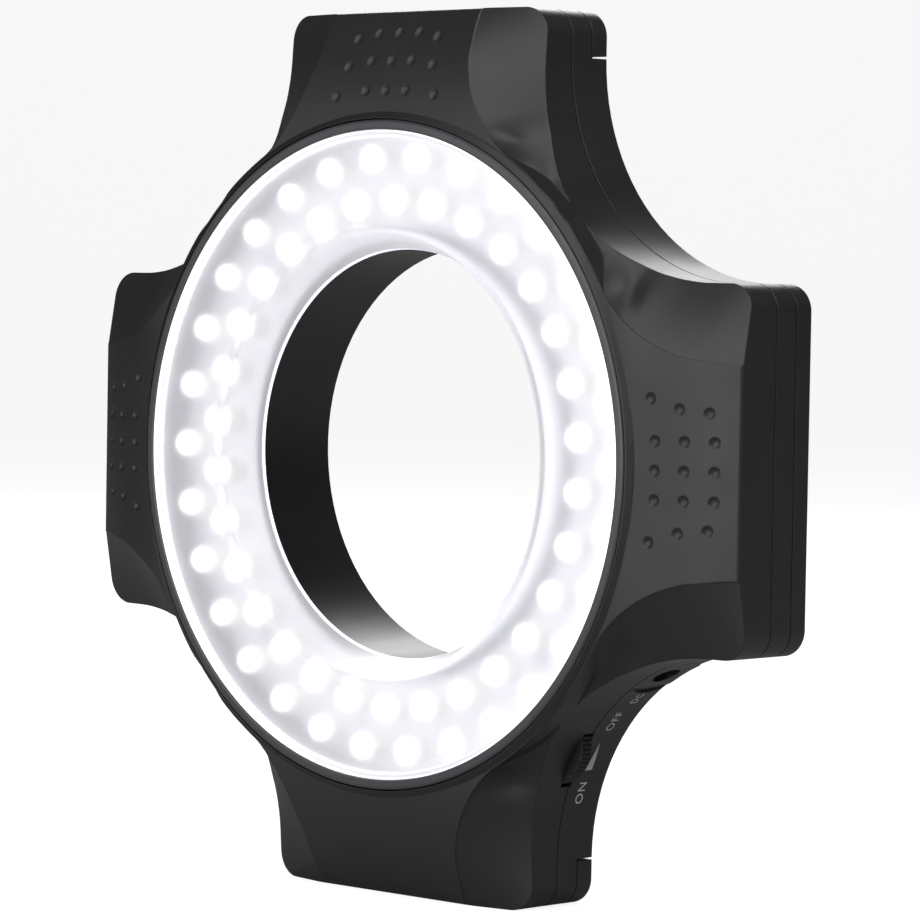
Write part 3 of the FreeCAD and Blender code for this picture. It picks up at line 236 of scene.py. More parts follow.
def handling_group():
    """Long soft patches where fingers have polished a surface."""
    tree, start, end = new_group(
        "handling", [("Dull", 0.5), ("Polished", 0.38), ("Patches per metre", 45.0)],
        [("Roughness", "NodeSocketFloat"), ("Mask", "NodeSocketFloat")])
    drawn = node(tree, "ShaderNodeMapping", {
        "Vector": own_place(tree), "Scale": PATCH_STRETCH, "Rotation": PATCH_TURN})
    patches = node(tree, "ShaderNodeTexNoise", {
        "Vector": drawn.outputs[0], "Scale": start.outputs["Patches per metre"],
        "Detail": 4.0, "Distortion": 0.6})
    mask = spread(tree, patches.outputs["Fac"], PATCH_FROM, PATCH_TO)
    between = numbers(tree, mask, start.outputs["Dull"], start.outputs["Polished"])
    plug(tree, end.inputs["Roughness"], between)
    plug(tree, end.inputs["Mask"], mask)
    return tree


HANDLING = handling_group()
print("group:", HANDLING.name, [socket.name for socket in HANDLING.interface.items_tree])

# %% Node group: soft edges
# How alike the rounded and the plain normal are where an edge begins to show, and on it.
FLAT_ALIKE, EDGE_ALIKE = 0.99, 0.75


def edges_group():
    """A normal rounded over sharp edges, and a mask of those edges where a highlight is painted."""
    tree, start, end = new_group(
        "soft_edges", [("Radius", 0.35 * MM)],
        [("Normal", "NodeSocketVector"), ("Mask", "NodeSocketFloat")])
    bevel = node(tree, "ShaderNodeBevel", {"Radius": start.outputs["Radius"]}, samples=4)
    plain = node(tree, "ShaderNodeNewGeometry").outputs["Normal"]
    alike = node(tree, "ShaderNodeVectorMath", {0: bevel.outputs[0], 1: plain},
                 operation="DOT_PRODUCT")
    plug(tree, end.inputs["Normal"], bevel.outputs[0])
    # The mask marks the edges that materials paint paler as a highlight.
    plug(tree, end.inputs["Mask"], spread(tree, alike.outputs["Value"], FLAT_ALIKE, EDGE_ALIKE))
    return tree


EDGES = edges_group()
print("group:", EDGES.name, [socket.name for socket in EDGES.interface.items_tree])

# %% [markdown]
# ## Plastics
# The housing is moulded in satin black: almost no colour of its own, so nearly all that
# the eye reads is the soft reflection, broken up by the grain and caught by the edges,
# which are also painted paler as a highlight. The same recipe, with other values, makes
# the bezel, the thumbwheel's rubber, the socket and the small black parts.

# %% Moulded plastic
COOL, WHITE = (0.97, 0.98, 1.07), (1.0, 1.0, 1.0)
DARKER, PALER = 0.85, 1.15
# Edges are painted paler by this factor, up to this grey, as a highlight along them.
EDGE_SHINE_BY, EDGE_SHINE_MOST = 2.4, 0.9


def moulded(name, level, dull, polished, grains=2600.0, depth=0.012, edge=0.35, edge_shine=0.5,
            tint=COOL):
    """Plastic of one grey: its roughness where dull and where polished, the grain's number to
    the metre and depth in millimetres, the radius of its edges and how strong the paler
    painted highlight along them is."""
    item, tree, shader = material(name)
    grain = use(tree, GRAIN, Grains_per_metre=grains)
    marks = use(tree, HANDLING, Dull=dull, Polished=polished)
    corner = use(tree, EDGES, Radius=edge * MM)
    shade = colours(tree, grain.outputs["Tone"], grey(level * DARKER, tint), grey(level * PALER, tint))
    # A paler grey along the edges is a painted highlight.
    edge_shine_mask = maths(tree, "MULTIPLY", corner.outputs["Mask"], edge_shine)
    shine_grey = grey(min(level * EDGE_SHINE_BY, EDGE_SHINE_MOST), tint)
    plug(tree, shader.inputs["Base Color"], colours(tree, edge_shine_mask, shade, shine_grey))
    plug(tree, shader.inputs["Roughness"], marks.outputs["Roughness"])
    bump(tree, shader, grain.outputs["Height"], 0.5, depth, corner.outputs["Normal"])
    return item


FINISHES = {
    "shell": moulded("satin_black_shell", 0.014, 0.45, 0.39),
    "bezel": moulded("semi_gloss_bezel", 0.05, 0.34, 0.28, grains=4200.0, depth=0.006, edge=0.2,
                     tint=(0.97, 0.97, 1.08)),
    "wheel": moulded("thumbwheel_rubber", 0.016, 0.6, 0.5, grains=3600.0, depth=0.02, edge=0.1),
    "socket": moulded("socket_black", 0.012, 0.5, 0.42, grains=3600.0, edge=0.15),
    "black_part": moulded("chip_black", 0.02, 0.55, 0.45, grains=5200.0, edge=0.1),
    "ceramic": moulded("chip_ceramic", 0.05, 0.5, 0.4, grains=5200.0, edge=0.08),
    "lead": moulded("lead_insulation", 0.34, 0.42, 0.36, grains=3000.0, edge=0.1,
                    tint=(1.0, 0.06, 0.05)),
}
MARK = moulded("white_print", 0.62, 0.6, 0.5, grains=5200.0, depth=0.003, edge=0.02, tint=WHITE)
print("plastics:", sorted(FINISHES))

# %% [markdown]
# ## Metals, wraps and boards
# Contacts are nickel plated, screws zinc plated, and the capacitor's can is aluminium: each
# is a metal whose roughness changes in fine streaks. A cell has a printed wrap between bare
# steel ends. A circuit board is green lacquer over copper tracks, which show as paler lines.

# %% Metals
STREAK_STRETCH = (1.0, 0.12, 1.0)
STAINS_PER_METRE, STAIN_FROM, STAIN_TO, STAINED_TO = 160.0, 0.35, 0.7, 0.72


def plated(name, colour, smooth, rough, streaks=900.0):
    """Metal of one colour, a little darker in stains, with the roughness changing in streaks."""
    item, tree, shader = material(name, Metallic=1.0)
    place = own_place(tree)
    drawn = node(tree, "ShaderNodeMapping", {"Vector": place, "Scale": STREAK_STRETCH})
    lines = node(tree, "ShaderNodeTexNoise", {
        "Vector": drawn.outputs[0], "Scale": streaks, "Detail": 3.0})
    stain = node(tree, "ShaderNodeTexNoise", {
        "Vector": place, "Scale": STAINS_PER_METRE, "Detail": 2.0})
    darker = tuple(channel * STAINED_TO for channel in colour[:3]) + (1.0,)
    stained = spread(tree, stain.outputs["Fac"], STAIN_FROM, STAIN_TO)
    plug(tree, shader.inputs["Base Color"], colours(tree, stained, colour, darker))
    plug(tree, shader.inputs["Roughness"], numbers(tree, lines.outputs["Fac"], smooth, rough))
    bump(tree, shader, lines.outputs["Fac"], 0.3, 0.01)
    return item


FINISHES["nickel"] = plated("nickel_plate", (0.66, 0.61, 0.52, 1.0), 0.18, 0.36)
FINISHES["steel"] = plated("zinc_plated_steel", (0.60, 0.62, 0.66, 1.0), 0.25, 0.45)
FINISHES["can"] = plated("aluminium_can", (0.78, 0.79, 0.80, 1.0), 0.2, 0.4, streaks=1500.0)
print("metals:", [FINISHES[name].name for name in ("nickel", "steel", "can")])

# %% Wrapped cell
CELL_HALF = 25.25
BARE_FOOT, BARE_NUB, BAND_FROM = 1.0, 2.2, 10.0
BLUE = (0.03, 0.12, 0.34, 1.0)


def cell_wrap():
    """Silver wrap with a blue band near the nub, read along each lobe's own length."""
    item, tree, shader = material("cell_wrap")
    x, _, z = own_axes(tree)
    beside = maths(tree, "GREATER_THAN", maths(tree, "ABSOLUTE", x), maths(tree, "ABSOLUTE", z))
    along_sides = maths(tree, "MULTIPLY", maths(tree, "SIGN", x), z)
    along_ends = maths(tree, "MULTIPLY", maths(tree, "MULTIPLY", maths(tree, "SIGN", z), x), -1.0)
    along = numbers(tree, beside, along_ends, along_sides)
    above_foot = maths(tree, "GREATER_THAN", along, (BARE_FOOT - CELL_HALF) * MM)
    below_nub = maths(tree, "LESS_THAN", along, (CELL_HALF - BARE_NUB) * MM)
    wrap = maths(tree, "MULTIPLY", above_foot, below_nub)
    band = maths(tree, "MULTIPLY", maths(tree, "GREATER_THAN", along, BAND_FROM * MM), wrap)
    grain = use(tree, GRAIN, Grains_per_metre=1800.0)
    paper = colours(tree, grain.outputs["Tone"], grey(0.52), grey(0.62))
    printed = colours(tree, band, paper, BLUE)
    metallic = maths(tree, "SUBTRACT", 1.0, maths(tree, "MULTIPLY", wrap, 0.7))
    marks = use(tree, HANDLING, Dull=0.34, Polished=0.24)
    plug(tree, shader.inputs["Base Color"], colours(tree, wrap, grey(0.6), printed))
    plug(tree, shader.inputs["Metallic"], metallic)
    plug(tree, shader.inputs["Roughness"], marks.outputs["Roughness"])
    return item


FINISHES["cell"] = cell_wrap()
print("cell wrap nodes:", len(FINISHES["cell"].node_tree.nodes))

# %% Circuit board
TRACK_PITCH = 2.4
LACQUER, TRACK, LAMINATE = (0.008, 0.075, 0.03, 1.0), (0.02, 0.16, 0.06, 1.0), (0.42, 0.36, 0.2, 1.0)


def lacquered_board():
    """Green lacquer over ring-shaped copper tracks; the cut edges show the bare laminate."""
    item, tree, shader = material("lacquered_board", Specular_IOR_Level=0.5)
    x, _, z = own_axes(tree)
    wave = maths(tree, "MULTIPLY", length_of(tree, x, z), FULL_TURN / (TRACK_PITCH * MM))
    track = spread(tree, maths(tree, "SINE", wave), 0.35, 0.5)
    normal = node(tree, "ShaderNodeNewGeometry").outputs["Normal"]
    facing = node(tree, "ShaderNodeSeparateXYZ", {0: normal}).outputs["Y"]
    side = maths(tree, "LESS_THAN", maths(tree, "ABSOLUTE", facing), 0.5)
    coat = colours(tree, track, LACQUER, TRACK)
    plug(tree, shader.inputs["Base Color"], colours(tree, side, coat, LAMINATE))
    plug(tree, shader.inputs["Roughness"], numbers(tree, side, 0.3, 0.75))
    bump(tree, shader, track, 0.5, 0.04)
    return item


FINISHES["board"] = lacquered_board()
print("board:", FINISHES["board"].name)

# %% [markdown]
# ## Light behind the window
# The lit LEDs stand on the board and shine through holes in a white sheet, which scatters
# light back. The sheet glows most round each LED, so a group works out the distance to the
# nearest LED of either ring. The window itself is frosted: clear material with a rough
# face, which blurs the LEDs into soft round spots and shifts them as the eye moves.

# %% LED rings
LEDS = 30
BOARD_FRONT = 15.2
ROWS = {"outer": (57.0, 96.0), "inner": (48.7, 90.0)}
print("rows (radius in mm, first bearing in degrees):", ROWS)

# %% Node group: pools of light
def pools_group():
    """1 on the axis of the nearest LED, falling to 0 at the named distance from it."""
    tree, start, end = new_group(
        "light_pools", [("Reach", 5.0 * MM)], [("Light", "NodeSocketFloat")])
    x, _, z = own_axes(tree)
    radius = length_of(tree, x, z)
    bearing = maths(tree, "ARCTAN2", z, x)
    step = FULL_TURN / LEDS
    lights = []
    for ring, first in ROWS.values():
        past = maths(tree, "SUBTRACT", bearing, math.radians(first) - step / 2)
        off = maths(tree, "SUBTRACT", maths(tree, "FLOORED_MODULO", past, step), step / 2)
        across = maths(tree, "MULTIPLY", off, ring * MM)
        away = maths(tree, "SUBTRACT", radius, ring * MM)
        share = maths(tree, "DIVIDE", length_of(tree, across, away), start.outputs["Reach"])
        lights.append(maths(tree, "MAXIMUM", maths(tree, "SUBTRACT", 1.0, share), 0.0))
    plug(tree, end.inputs["Light"], maths(tree, "MAXIMUM", *lights))
    return tree


POOLS = pools_group()
print("group:", POOLS.name, len(POOLS.nodes), "nodes")

# %% [markdown]
# ## Glowing finishes
# Only the tip of each LED's dome shines, so every spot stays round and separate. The
# window's own glow stands for light that wanders inside it: a little on the cone, more on
# the flat ring towards its edge, and most on the thin rim beside the bezel. Each ray passes
# the window's front and its back, so these levels count twice.

# %% White sheet and LEDs
DOME_FROM, DOME_TO = BOARD_FRONT + 6.3, BOARD_FRONT + 7.4


def glowing_sheet():
    item, tree, shader = material("white_sheet", Emission_Strength=1.0)
    pools = use(tree, POOLS, Reach=5.2 * MM).outputs["Light"]
    grain = use(tree, GRAIN, Grains_per_metre=3200.0)
    marks = use(tree, HANDLING, Dull=0.6, Polished=0.5)
    glow = colours(tree, pools, grey(0.17, (0.93, 0.94, 1.0)), grey(0.36, (0.98, 0.98, 1.0)))
    shade = colours(tree, grain.outputs["Tone"], grey(0.36), grey(0.42))
    plug(tree, shader.inputs["Base Color"], shade)
    plug(tree, shader.inputs["Emission Color"], glow)
    plug(tree, shader.inputs["Roughness"], marks.outputs["Roughness"])
    bump(tree, shader, grain.outputs["Height"], 0.4, 0.01)
    return item


def lit_lens():
    item, tree, shader = material("lit_lens", Emission_Strength=1.55, Roughness=0.15)
    _, y, _ = own_axes(tree)
    height = maths(tree, "MULTIPLY", y, -1.0)
    tip = spread(tree, height, DOME_FROM * MM, DOME_TO * MM)
    shade = colours(tree, tip, grey(0.4, (1.0, 0.98, 0.9)), grey(0.6))
    glow = colours(tree, tip, grey(0.1, (1.0, 0.98, 0.94)), grey(1.0))
    plug(tree, shader.inputs["Base Color"], shade)
    plug(tree, shader.inputs["Emission Color"], glow)
    return item


FINISHES["white_sheet"] = glowing_sheet()
FINISHES["led"] = lit_lens()
print("glowing:", [FINISHES[name].name for name in ("white_sheet", "led")])

# %% Frosted window
# Radii between which one level of the window's glow gives way to the next.
CONE_SPAN, FLAT_SPAN, RIM_SPAN = (39.2, 44.0), (57.0, 60.6), (61.5, 61.75)
BLUISH = (0.94, 0.95, 1.0)


def frosted_window():
    item, tree, shader = material("frosted_window", Transmission_Weight=1.0, IOR=1.45,
                                  Roughness=0.34, Emission_Strength=1.0)
    grain = use(tree, GRAIN, Grains_per_metre=5200.0)
    x, _, z = own_axes(tree)
    radius = length_of(tree, x, z)
    cone, flat, rim = (spread(tree, radius, low * MM, high * MM)
                       for low, high in (CONE_SPAN, FLAT_SPAN, RIM_SPAN))
    glow = colours(tree, cone, grey(0.20, BLUISH), grey(0.215, (0.93, 0.94, 1.0)))
    glow = colours(tree, flat, glow, grey(0.31, BLUISH))
    glow = colours(tree, rim, glow, grey(0.55))
    shade = colours(tree, grain.outputs["Tone"], grey(0.93, (0.98, 0.975, 1.0)),
                    grey(0.97, (0.985, 0.98, 1.0)))
    plug(tree, shader.inputs["Base Color"], shade)
    plug(tree, shader.inputs["Emission Color"], glow)
    bump(tree, shader, grain.outputs["Height"], 0.3, 0.004)
    return item


FINISHES["window"] = frosted_window()
print("window:", FINISHES["window"].name)

# %% Dress the CAD pieces
for name, item in nodes.items():
    for slot in item.material_slots:
        slot.material = FINISHES[slots[name]]
print("dressed", sum(len(item.material_slots) > 0 for item in nodes.values()), "of", len(nodes), "nodes")

# %% [markdown]
# ## Turned pieces
# The window, the bezel, an LED, a screw and the thumbwheel are all turned shapes: one
# outline swept round an axis. A Geometry Nodes tree sweeps a grid whose every column copies
# the outline, so that the number of steps stays an input. Ribs are a wave on the radius.

# %% Geometry Nodes helpers
WELD = 1e-7


def geometry_tree(name, inputs):
    tree = bpy.data.node_groups.new(name, "GeometryNodeTree")
    sockets = tree.interface
    for way in ("INPUT", "OUTPUT"):
        sockets.new_socket("Geometry", in_out=way, socket_type="NodeSocketGeometry")
    for title, kind, default in inputs:
        socket = sockets.new_socket(title, in_out="INPUT", socket_type=kind)
        if default is not None:
            socket.default_value = default
    return tree, tree.nodes.new("NodeGroupInput"), tree.nodes.new("NodeGroupOutput")


def close_tree(tree, end, geometry, finish):
    """Ends a tree with Realize Instances and Set Material."""
    real = node(tree, "GeometryNodeRealizeInstances", {"Geometry": geometry})
    shown = node(tree, "GeometryNodeSetMaterial", {"Geometry": real.outputs[0], "Material": finish})
    plug(tree, end.inputs[0], shown.outputs[0])
    return tree


def piece_of(name, mesh):
    item = bpy.data.objects.new(name, mesh)
    bpy.context.collection.objects.link(item)
    return item


def bake(item):
    """Replaces a piece's mesh by what its modifiers make of it, faces turned outwards."""
    bpy.context.view_layer.update()
    seen = item.evaluated_get(bpy.context.evaluated_depsgraph_get())
    mesh = bpy.data.meshes.new_from_object(seen)
    item.modifiers.clear()
    item.data = mesh
    shape = bmesh.new()
    shape.from_mesh(mesh)
    bmesh.ops.remove_doubles(shape, verts=shape.verts, dist=WELD)
    bmesh.ops.recalc_face_normals(shape, faces=shape.faces)
    shape.to_mesh(mesh)
    shape.free()


def grow(item, tree, **values):
    """Runs a tree on a piece and keeps what it makes as the piece's plain mesh."""
    modifier = item.modifiers.new(tree.name, "NODES")
    modifier.node_group = tree
    for socket in tree.interface.items_tree:
        key = socket.name.replace(" ", "_")
        if socket.in_out == "INPUT" and key in values:
            modifier[socket.identifier] = values[key]
    bake(item)
    return item


def settle(item, body, slot, *replaced):
    """Says what carries a piece and which CAD nodes it stands for; its slot is not used."""
    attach(item, body)
    if replaced:
        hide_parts(*replaced)
    print(item.name, "rides on", body, "-", len(item.data.polygons), "faces")


print("geometry helpers ready")

# %% Geometry Nodes: lathe
MERGE = 0.001 * MM


def lathe_tree():
    tree, start, end = geometry_tree("lathe", [
        ("Steps round", "NodeSocketInt", 192), ("Ribs", "NodeSocketFloat", 0.0),
        ("Rib depth", "NodeSocketFloat", 0.0), ("Ribbed from", "NodeSocketFloat", 1.0),
        ("Centre", "NodeSocketVector", (0, 0, 0)), ("Finish", "NodeSocketMaterial", None)])
    outline = start.outputs["Geometry"]
    sizes = node(tree, "GeometryNodeAttributeDomainSize", {"Geometry": outline})
    points = sizes.outputs["Point Count"]
    column = maths(tree, "ADD", points, 1.0)
    steps = start.outputs["Steps round"]
    grid = node(tree, "GeometryNodeMeshGrid", {
        "Vertices X": maths(tree, "ADD", steps, 1.0), "Vertices Y": column})
    index = node(tree, "GeometryNodeInputIndex").outputs[0]
    turn = maths(tree, "FLOOR", maths(tree, "DIVIDE", index, column))
    row = maths(tree, "SUBTRACT", index, maths(tree, "MULTIPLY", turn, column))
    copied = node(tree, "GeometryNodeSampleIndex", {
        "Geometry": outline, "Value": node(tree, "GeometryNodeInputPosition").outputs[0],
        "Index": maths(tree, "MODULO", row, points)}, data_type="FLOAT_VECTOR")
    place = node(tree, "ShaderNodeSeparateXYZ", {0: copied.outputs[0]})
    angle = maths(tree, "MULTIPLY", maths(tree, "DIVIDE", turn, steps), FULL_TURN)
    wave = maths(tree, "COSINE", maths(tree, "MULTIPLY", angle, start.outputs["Ribs"]))
    valley = maths(tree, "SUBTRACT", 0.5, maths(tree, "MULTIPLY", wave, 0.5))
    dip = maths(tree, "MULTIPLY", valley, start.outputs["Rib depth"])
    outer = maths(tree, "GREATER_THAN", place.outputs["X"], start.outputs["Ribbed from"])
    radius = maths(tree, "SUBTRACT", place.outputs["X"], maths(tree, "MULTIPLY", dip, outer))
    swept = node(tree, "ShaderNodeCombineXYZ", {
        0: maths(tree, "MULTIPLY", radius, maths(tree, "COSINE", angle)),
        1: maths(tree, "MULTIPLY", place.outputs["Z"], -1.0),
        2: maths(tree, "MULTIPLY", radius, maths(tree, "SINE", angle))})
    moved = node(tree, "ShaderNodeVectorMath", {0: swept.outputs[0], 1: start.outputs["Centre"]},
                 operation="ADD")
    shaped = node(tree, "GeometryNodeSetPosition", {
        "Geometry": grid.outputs["Mesh"], "Position": moved.outputs[0]})
    merged = node(tree, "GeometryNodeMergeByDistance", {
        "Geometry": shaped.outputs[0], "Distance": MERGE})
    smooth = node(tree, "GeometryNodeSetShadeSmooth", {"Geometry": merged.outputs[0]})
    return close_tree(tree, end, smooth.outputs[0], start.outputs["Finish"])


LATHE = lathe_tree()
print("tree:", LATHE.name, len(LATHE.nodes), "nodes")

# %% Outlines with rounded corners
HOLD = 0.12


def rounded_loop(corners, steps=5):
    """Closed outline in metres from (radius, height, rounding) corners in millimetres.
    A point just past each arc keeps the flat faces flat when they are shaded smooth."""
    loop = []
    for number, (radius, height, rounding) in enumerate(corners):
        corner = Vector((radius, height))
        if not rounding:
            loop.append(corner)
            continue
        before = Vector(corners[number - 1][:2]) - corner
        after = Vector(corners[(number + 1) % len(corners)][:2]) - corner
        half = before.angle(after) / 2
        back, forth = before.normalized(), after.normalized()
        reach = rounding / math.tan(half)
        middle = corner + (back + forth).normalized() * rounding / math.sin(half)
        first, last = corner + back * reach - middle, corner + forth * reach - middle
        loop.append(middle + first + back * HOLD)
        loop += [middle + first.slerp(last, step / steps) * rounding for step in range(steps + 1)]
        loop.append(middle + last + forth * HOLD)
    return [point * MM for point in loop]


def turned(name, loop, steps=192, centre=(0, 0, 0), finish=None, **ribs):
    mesh = bpy.data.meshes.new(name)
    count = len(loop)
    sides = [(number, (number + 1) % count) for number in range(count)]
    mesh.from_pydata([(x, 0, z) for x, z in loop], sides, [])
    return grow(piece_of(name, mesh), LATHE, Steps_round=steps, Centre=centre, Finish=finish, **ribs)


triangle = rounded_loop([(1, 0, 0.2), (2, 0, 0), (2, 1, 0)])
print("a triangle with one corner rounded has", len(triangle), "points")

# %% [markdown]
# ## Window and bezel
# The window's flat ring runs into a cone that leads back to the bore's black tube. On the
# real one that edge is softly rounded, which is why no line shows there. The bezel stands
# round the window with small soft edges that catch a thin line of light.

# %% Window and bezel
RING_STEPS = 256
WINDOW_OUTLINE = [
    (39.2, 18.0, 0.35), (40.8, 18.0, 0.3), (43.74, 25.7, 0.8), (60.8, 25.7, 0.15),
    (60.8, 25.2, 0), (62.0, 25.2, 0.15), (62.0, 27.7, 0.35), (42.9, 27.7, 2.6)]
BEZEL_OUTLINE = [(62.05, 25.2, 0.1), (64.0, 25.2, 0.1), (64.0, 27.7, 0.6), (62.05, 27.7, 0.35)]

window = turned("window", rounded_loop(WINDOW_OUTLINE, steps=6), steps=RING_STEPS,
                finish=FINISHES["window"])
settle(window, "root", "window", "diffuser")
bezel = turned("bezel", rounded_loop(BEZEL_OUTLINE), steps=RING_STEPS, finish=FINISHES["bezel"])
settle(bezel, "root", "bezel", "bezel_ring")

# %% [markdown]
# ## Rings of LEDs
# Sixty equal LEDs stand in two rings, half a step apart. One LED is made in mesh code: a
# lens with a flange, two legs, and the solder round them behind the board. A tree then
# puts copies of it round a circle and gives its metal parts their own finish.

# %% One LED
LED_OUTLINE = [
    (0, 0, 0), (2.9, 0, 0), (2.9, 1.0, 0.15), (2.5, 1.0, 0), (2.5, 6.2, 0), (2.35, 7.06, 0),
    (1.92, 7.8, 0), (1.25, 8.36, 0), (0.5, 8.65, 0), (0, 8.7, 0)]
LEG_OFFSET = 1.27
# Each has its lower and upper radius, then its lower and upper height over the board.
LEG = (0.25, 0.25, -2.2, 0.3)
SOLDER = (0.3, 0.75, -2.1, -1.62)


def add_leg(shape, side):
    """A leg through the board with its cone of solder, added to the LED's mesh."""
    for radius_1, radius_2, low, high in (LEG, SOLDER):
        turn = Matrix.Rotation(math.radians(90), 4, "X")
        middle = Matrix.Translation((side * LEG_OFFSET * MM, -(low + high) / 2 * MM, 0))
        bmesh.ops.create_cone(
            shape, cap_ends=True, segments=8, radius1=radius_1 * MM, radius2=radius_2 * MM,
            depth=(high - low) * MM, matrix=middle @ turn)


def make_led():
    lens = turned("led_piece", rounded_loop(LED_OUTLINE, steps=1), steps=20, finish=FINISHES["led"])
    shape = bmesh.new()
    shape.from_mesh(lens.data)
    metal = shape.faces.layers.bool.new("metal")
    before = set(shape.faces)
    for side in (-1, 1):
        add_leg(shape, side)
    for face in set(shape.faces) - before:
        face[metal] = True
        face.smooth = len(face.verts) == 4
    shape.to_mesh(lens.data)
    shape.free()
    return lens


led = make_led()
print("one LED:", len(led.data.polygons), "faces")

# %% Geometry Nodes: ring of pieces
def ring_tree():
    tree, start, end = geometry_tree("ring_of_pieces", [
        ("Piece", "NodeSocketObject", None), ("Count", "NodeSocketInt", LEDS),
        ("Ring radius", "NodeSocketFloat", 0.05), ("First bearing", "NodeSocketFloat", 0.0),
        ("Depth", "NodeSocketFloat", 0.0), ("Metal", "NodeSocketMaterial", None),
        ("Finish", "NodeSocketMaterial", None)])
    count, radius = start.outputs["Count"], start.outputs["Ring radius"]
    points = node(tree, "GeometryNodePoints", {"Count": count})
    share = maths(tree, "DIVIDE", node(tree, "GeometryNodeInputIndex").outputs[0], count)
    turned_by = maths(tree, "MULTIPLY", share, FULL_TURN)
    angle = maths(tree, "ADD", turned_by, start.outputs["First bearing"])
    place = node(tree, "ShaderNodeCombineXYZ", {
        0: maths(tree, "MULTIPLY", radius, maths(tree, "COSINE", angle)),
        1: maths(tree, "MULTIPLY", start.outputs["Depth"], -1.0),
        2: maths(tree, "MULTIPLY", radius, maths(tree, "SINE", angle))})
    set_out = node(tree, "GeometryNodeSetPosition", {
        "Geometry": points.outputs[0], "Position": place.outputs[0]})
    turn = node(tree, "ShaderNodeCombineXYZ", {1: maths(tree, "MULTIPLY", angle, -1.0)})
    source = node(tree, "GeometryNodeObjectInfo", {
        "Object": start.outputs["Piece"], "As Instance": True})
    copies = node(tree, "GeometryNodeInstanceOnPoints", {
        "Points": set_out.outputs[0], "Rotation": turn.outputs[0],
        "Instance": source.outputs["Geometry"]})
    real = node(tree, "GeometryNodeRealizeInstances", {"Geometry": copies.outputs[0]})
    lens = node(tree, "GeometryNodeSetMaterial", {
        "Geometry": real.outputs[0], "Material": start.outputs["Finish"]})
    metal = node(tree, "GeometryNodeInputNamedAttribute", {"Name": "metal"}, data_type="BOOLEAN")
    legs = node(tree, "GeometryNodeSetMaterial", {
        "Geometry": lens.outputs[0], "Selection": metal.outputs[0],
        "Material": start.outputs["Metal"]})
    plug(tree, end.inputs[0], legs.outputs[0])
    return tree


RING = ring_tree()
for row, (ring, first) in ROWS.items():
    name = f"{row}_leds"
    leds = grow(piece_of(name, bpy.data.meshes.new(name)), RING, Piece=led, Count=LEDS,
                Ring_radius=ring * MM, First_bearing=math.radians(first), Depth=BOARD_FRONT * MM,
                Metal=FINISHES["nickel"], Finish=FINISHES["led"])
    settle(leds, "root", "led", f"led_{row}_row")
bpy.data.objects.remove(led)

# %% [markdown]
# ## Screws
# Fourteen cross-head screws in three sizes hold the shells and boards. Nobody drives screws
# to the same angle, so the tree turns each by a random angle from a fixed seed. The cross
# is cut with a Boolean modifier before the copies are made.

# %% One screw
CROSS_LONG, CROSS_DEEP, CROSS_WIDE = 1.15, 1.1, 0.26
POINT_LENGTH, POINT_SHARE = 0.6, 0.6
# Corners of the domed head, in shares of its radius and height.
HEAD_SHOULDERS = [(1.0, 0.45), (0.86, 0.78), (0.6, 0.95)]


def cross_cutter(head, height):
    """Two crossed blocks over the head, in shares of its radius and height."""
    shape = bmesh.new()
    for turn in (0, 90):
        place = Matrix.Rotation(math.radians(turn), 4, "Y") @ Matrix.Translation((0, -height * MM, 0))
        long, deep, wide = head * CROSS_LONG, height * CROSS_DEEP, head * CROSS_WIDE
        size = Matrix.Diagonal((long * MM, deep * MM, wide * MM, 1))
        bmesh.ops.create_cube(shape, size=1, matrix=place @ size)
    mesh = bpy.data.meshes.new("cross")
    shape.to_mesh(mesh)
    shape.free()
    return piece_of("cross", mesh)


def make_screw(shank, head, height, length):
    domed = [(head * out, height * up, 0) for out, up in HEAD_SHOULDERS]
    outline = [(0, -length, 0), (shank * POINT_SHARE, -length, 0), (shank, POINT_LENGTH - length, 0),
               (shank, 0, 0), (head, 0, 0), *domed, (0, height, 0)]
    screw = turned("screw_piece", rounded_loop(outline, steps=2), steps=24, finish=FINISHES["steel"])
    cutter = cross_cutter(head, height)
    modifier = screw.modifiers.new("cross", "BOOLEAN")
    modifier.operation, modifier.object, modifier.solver = "DIFFERENCE", cutter, "EXACT"
    modifier.use_self = True
    bake(screw)
    bpy.data.objects.remove(cutter)
    for face in screw.data.polygons:
        face.use_smooth = False
    return screw


print("cross blocks in shares of the head:", CROSS_LONG, CROSS_DEEP, CROSS_WIDE)

# %% Geometry Nodes: screws at places
def screws_tree():
    tree, start, end = geometry_tree("screws_at_places", [
        ("Screw", "NodeSocketObject", None), ("Flip", "NodeSocketFloat", 0.0),
        ("Seed", "NodeSocketInt", 3), ("Finish", "NodeSocketMaterial", None)])
    spin = node(tree, "FunctionNodeRandomValue", {
        2: 0.0, 3: math.pi, "Seed": start.outputs["Seed"]}, data_type="FLOAT")
    turn = node(tree, "ShaderNodeCombineXYZ", {0: start.outputs["Flip"], 1: spin.outputs[1]})
    source = node(tree, "GeometryNodeObjectInfo", {
        "Object": start.outputs["Screw"], "As Instance": True})
    copies = node(tree, "GeometryNodeInstanceOnPoints", {
        "Points": start.outputs["Geometry"], "Rotation": turn.outputs[0],
        "Instance": source.outputs["Geometry"]})
    return close_tree(tree, end, copies.outputs[0], start.outputs["Finish"])


SCREWS = screws_tree()
print("tree:", SCREWS.name, len(SCREWS.nodes), "nodes")

# %% Screws
def around(radius, bearings):
    turns = [math.radians(bearing) for bearing in bearings]
    return [(radius * math.cos(turn), radius * math.sin(turn)) for turn in turns]


def add_screws(cad_node, places, seat, sizes, seed, flip=0.0):
    """Screws whose heads sit at one height; sizes are shank and head radius, head height, length."""
    name = cad_node[:-1] + "_set"
    mesh = bpy.data.meshes.new(name)
    mesh.from_pydata([(x * MM, -seat * MM, z * MM) for x, z in places], [], [])
    screw = make_screw(*sizes)
    item = grow(piece_of(name, mesh), SCREWS, Screw=screw, Seed=seed, Flip=flip,
                Finish=FINISHES["steel"])
    bpy.data.objects.remove(screw)
    settle(item, "root", "steel", cad_node)


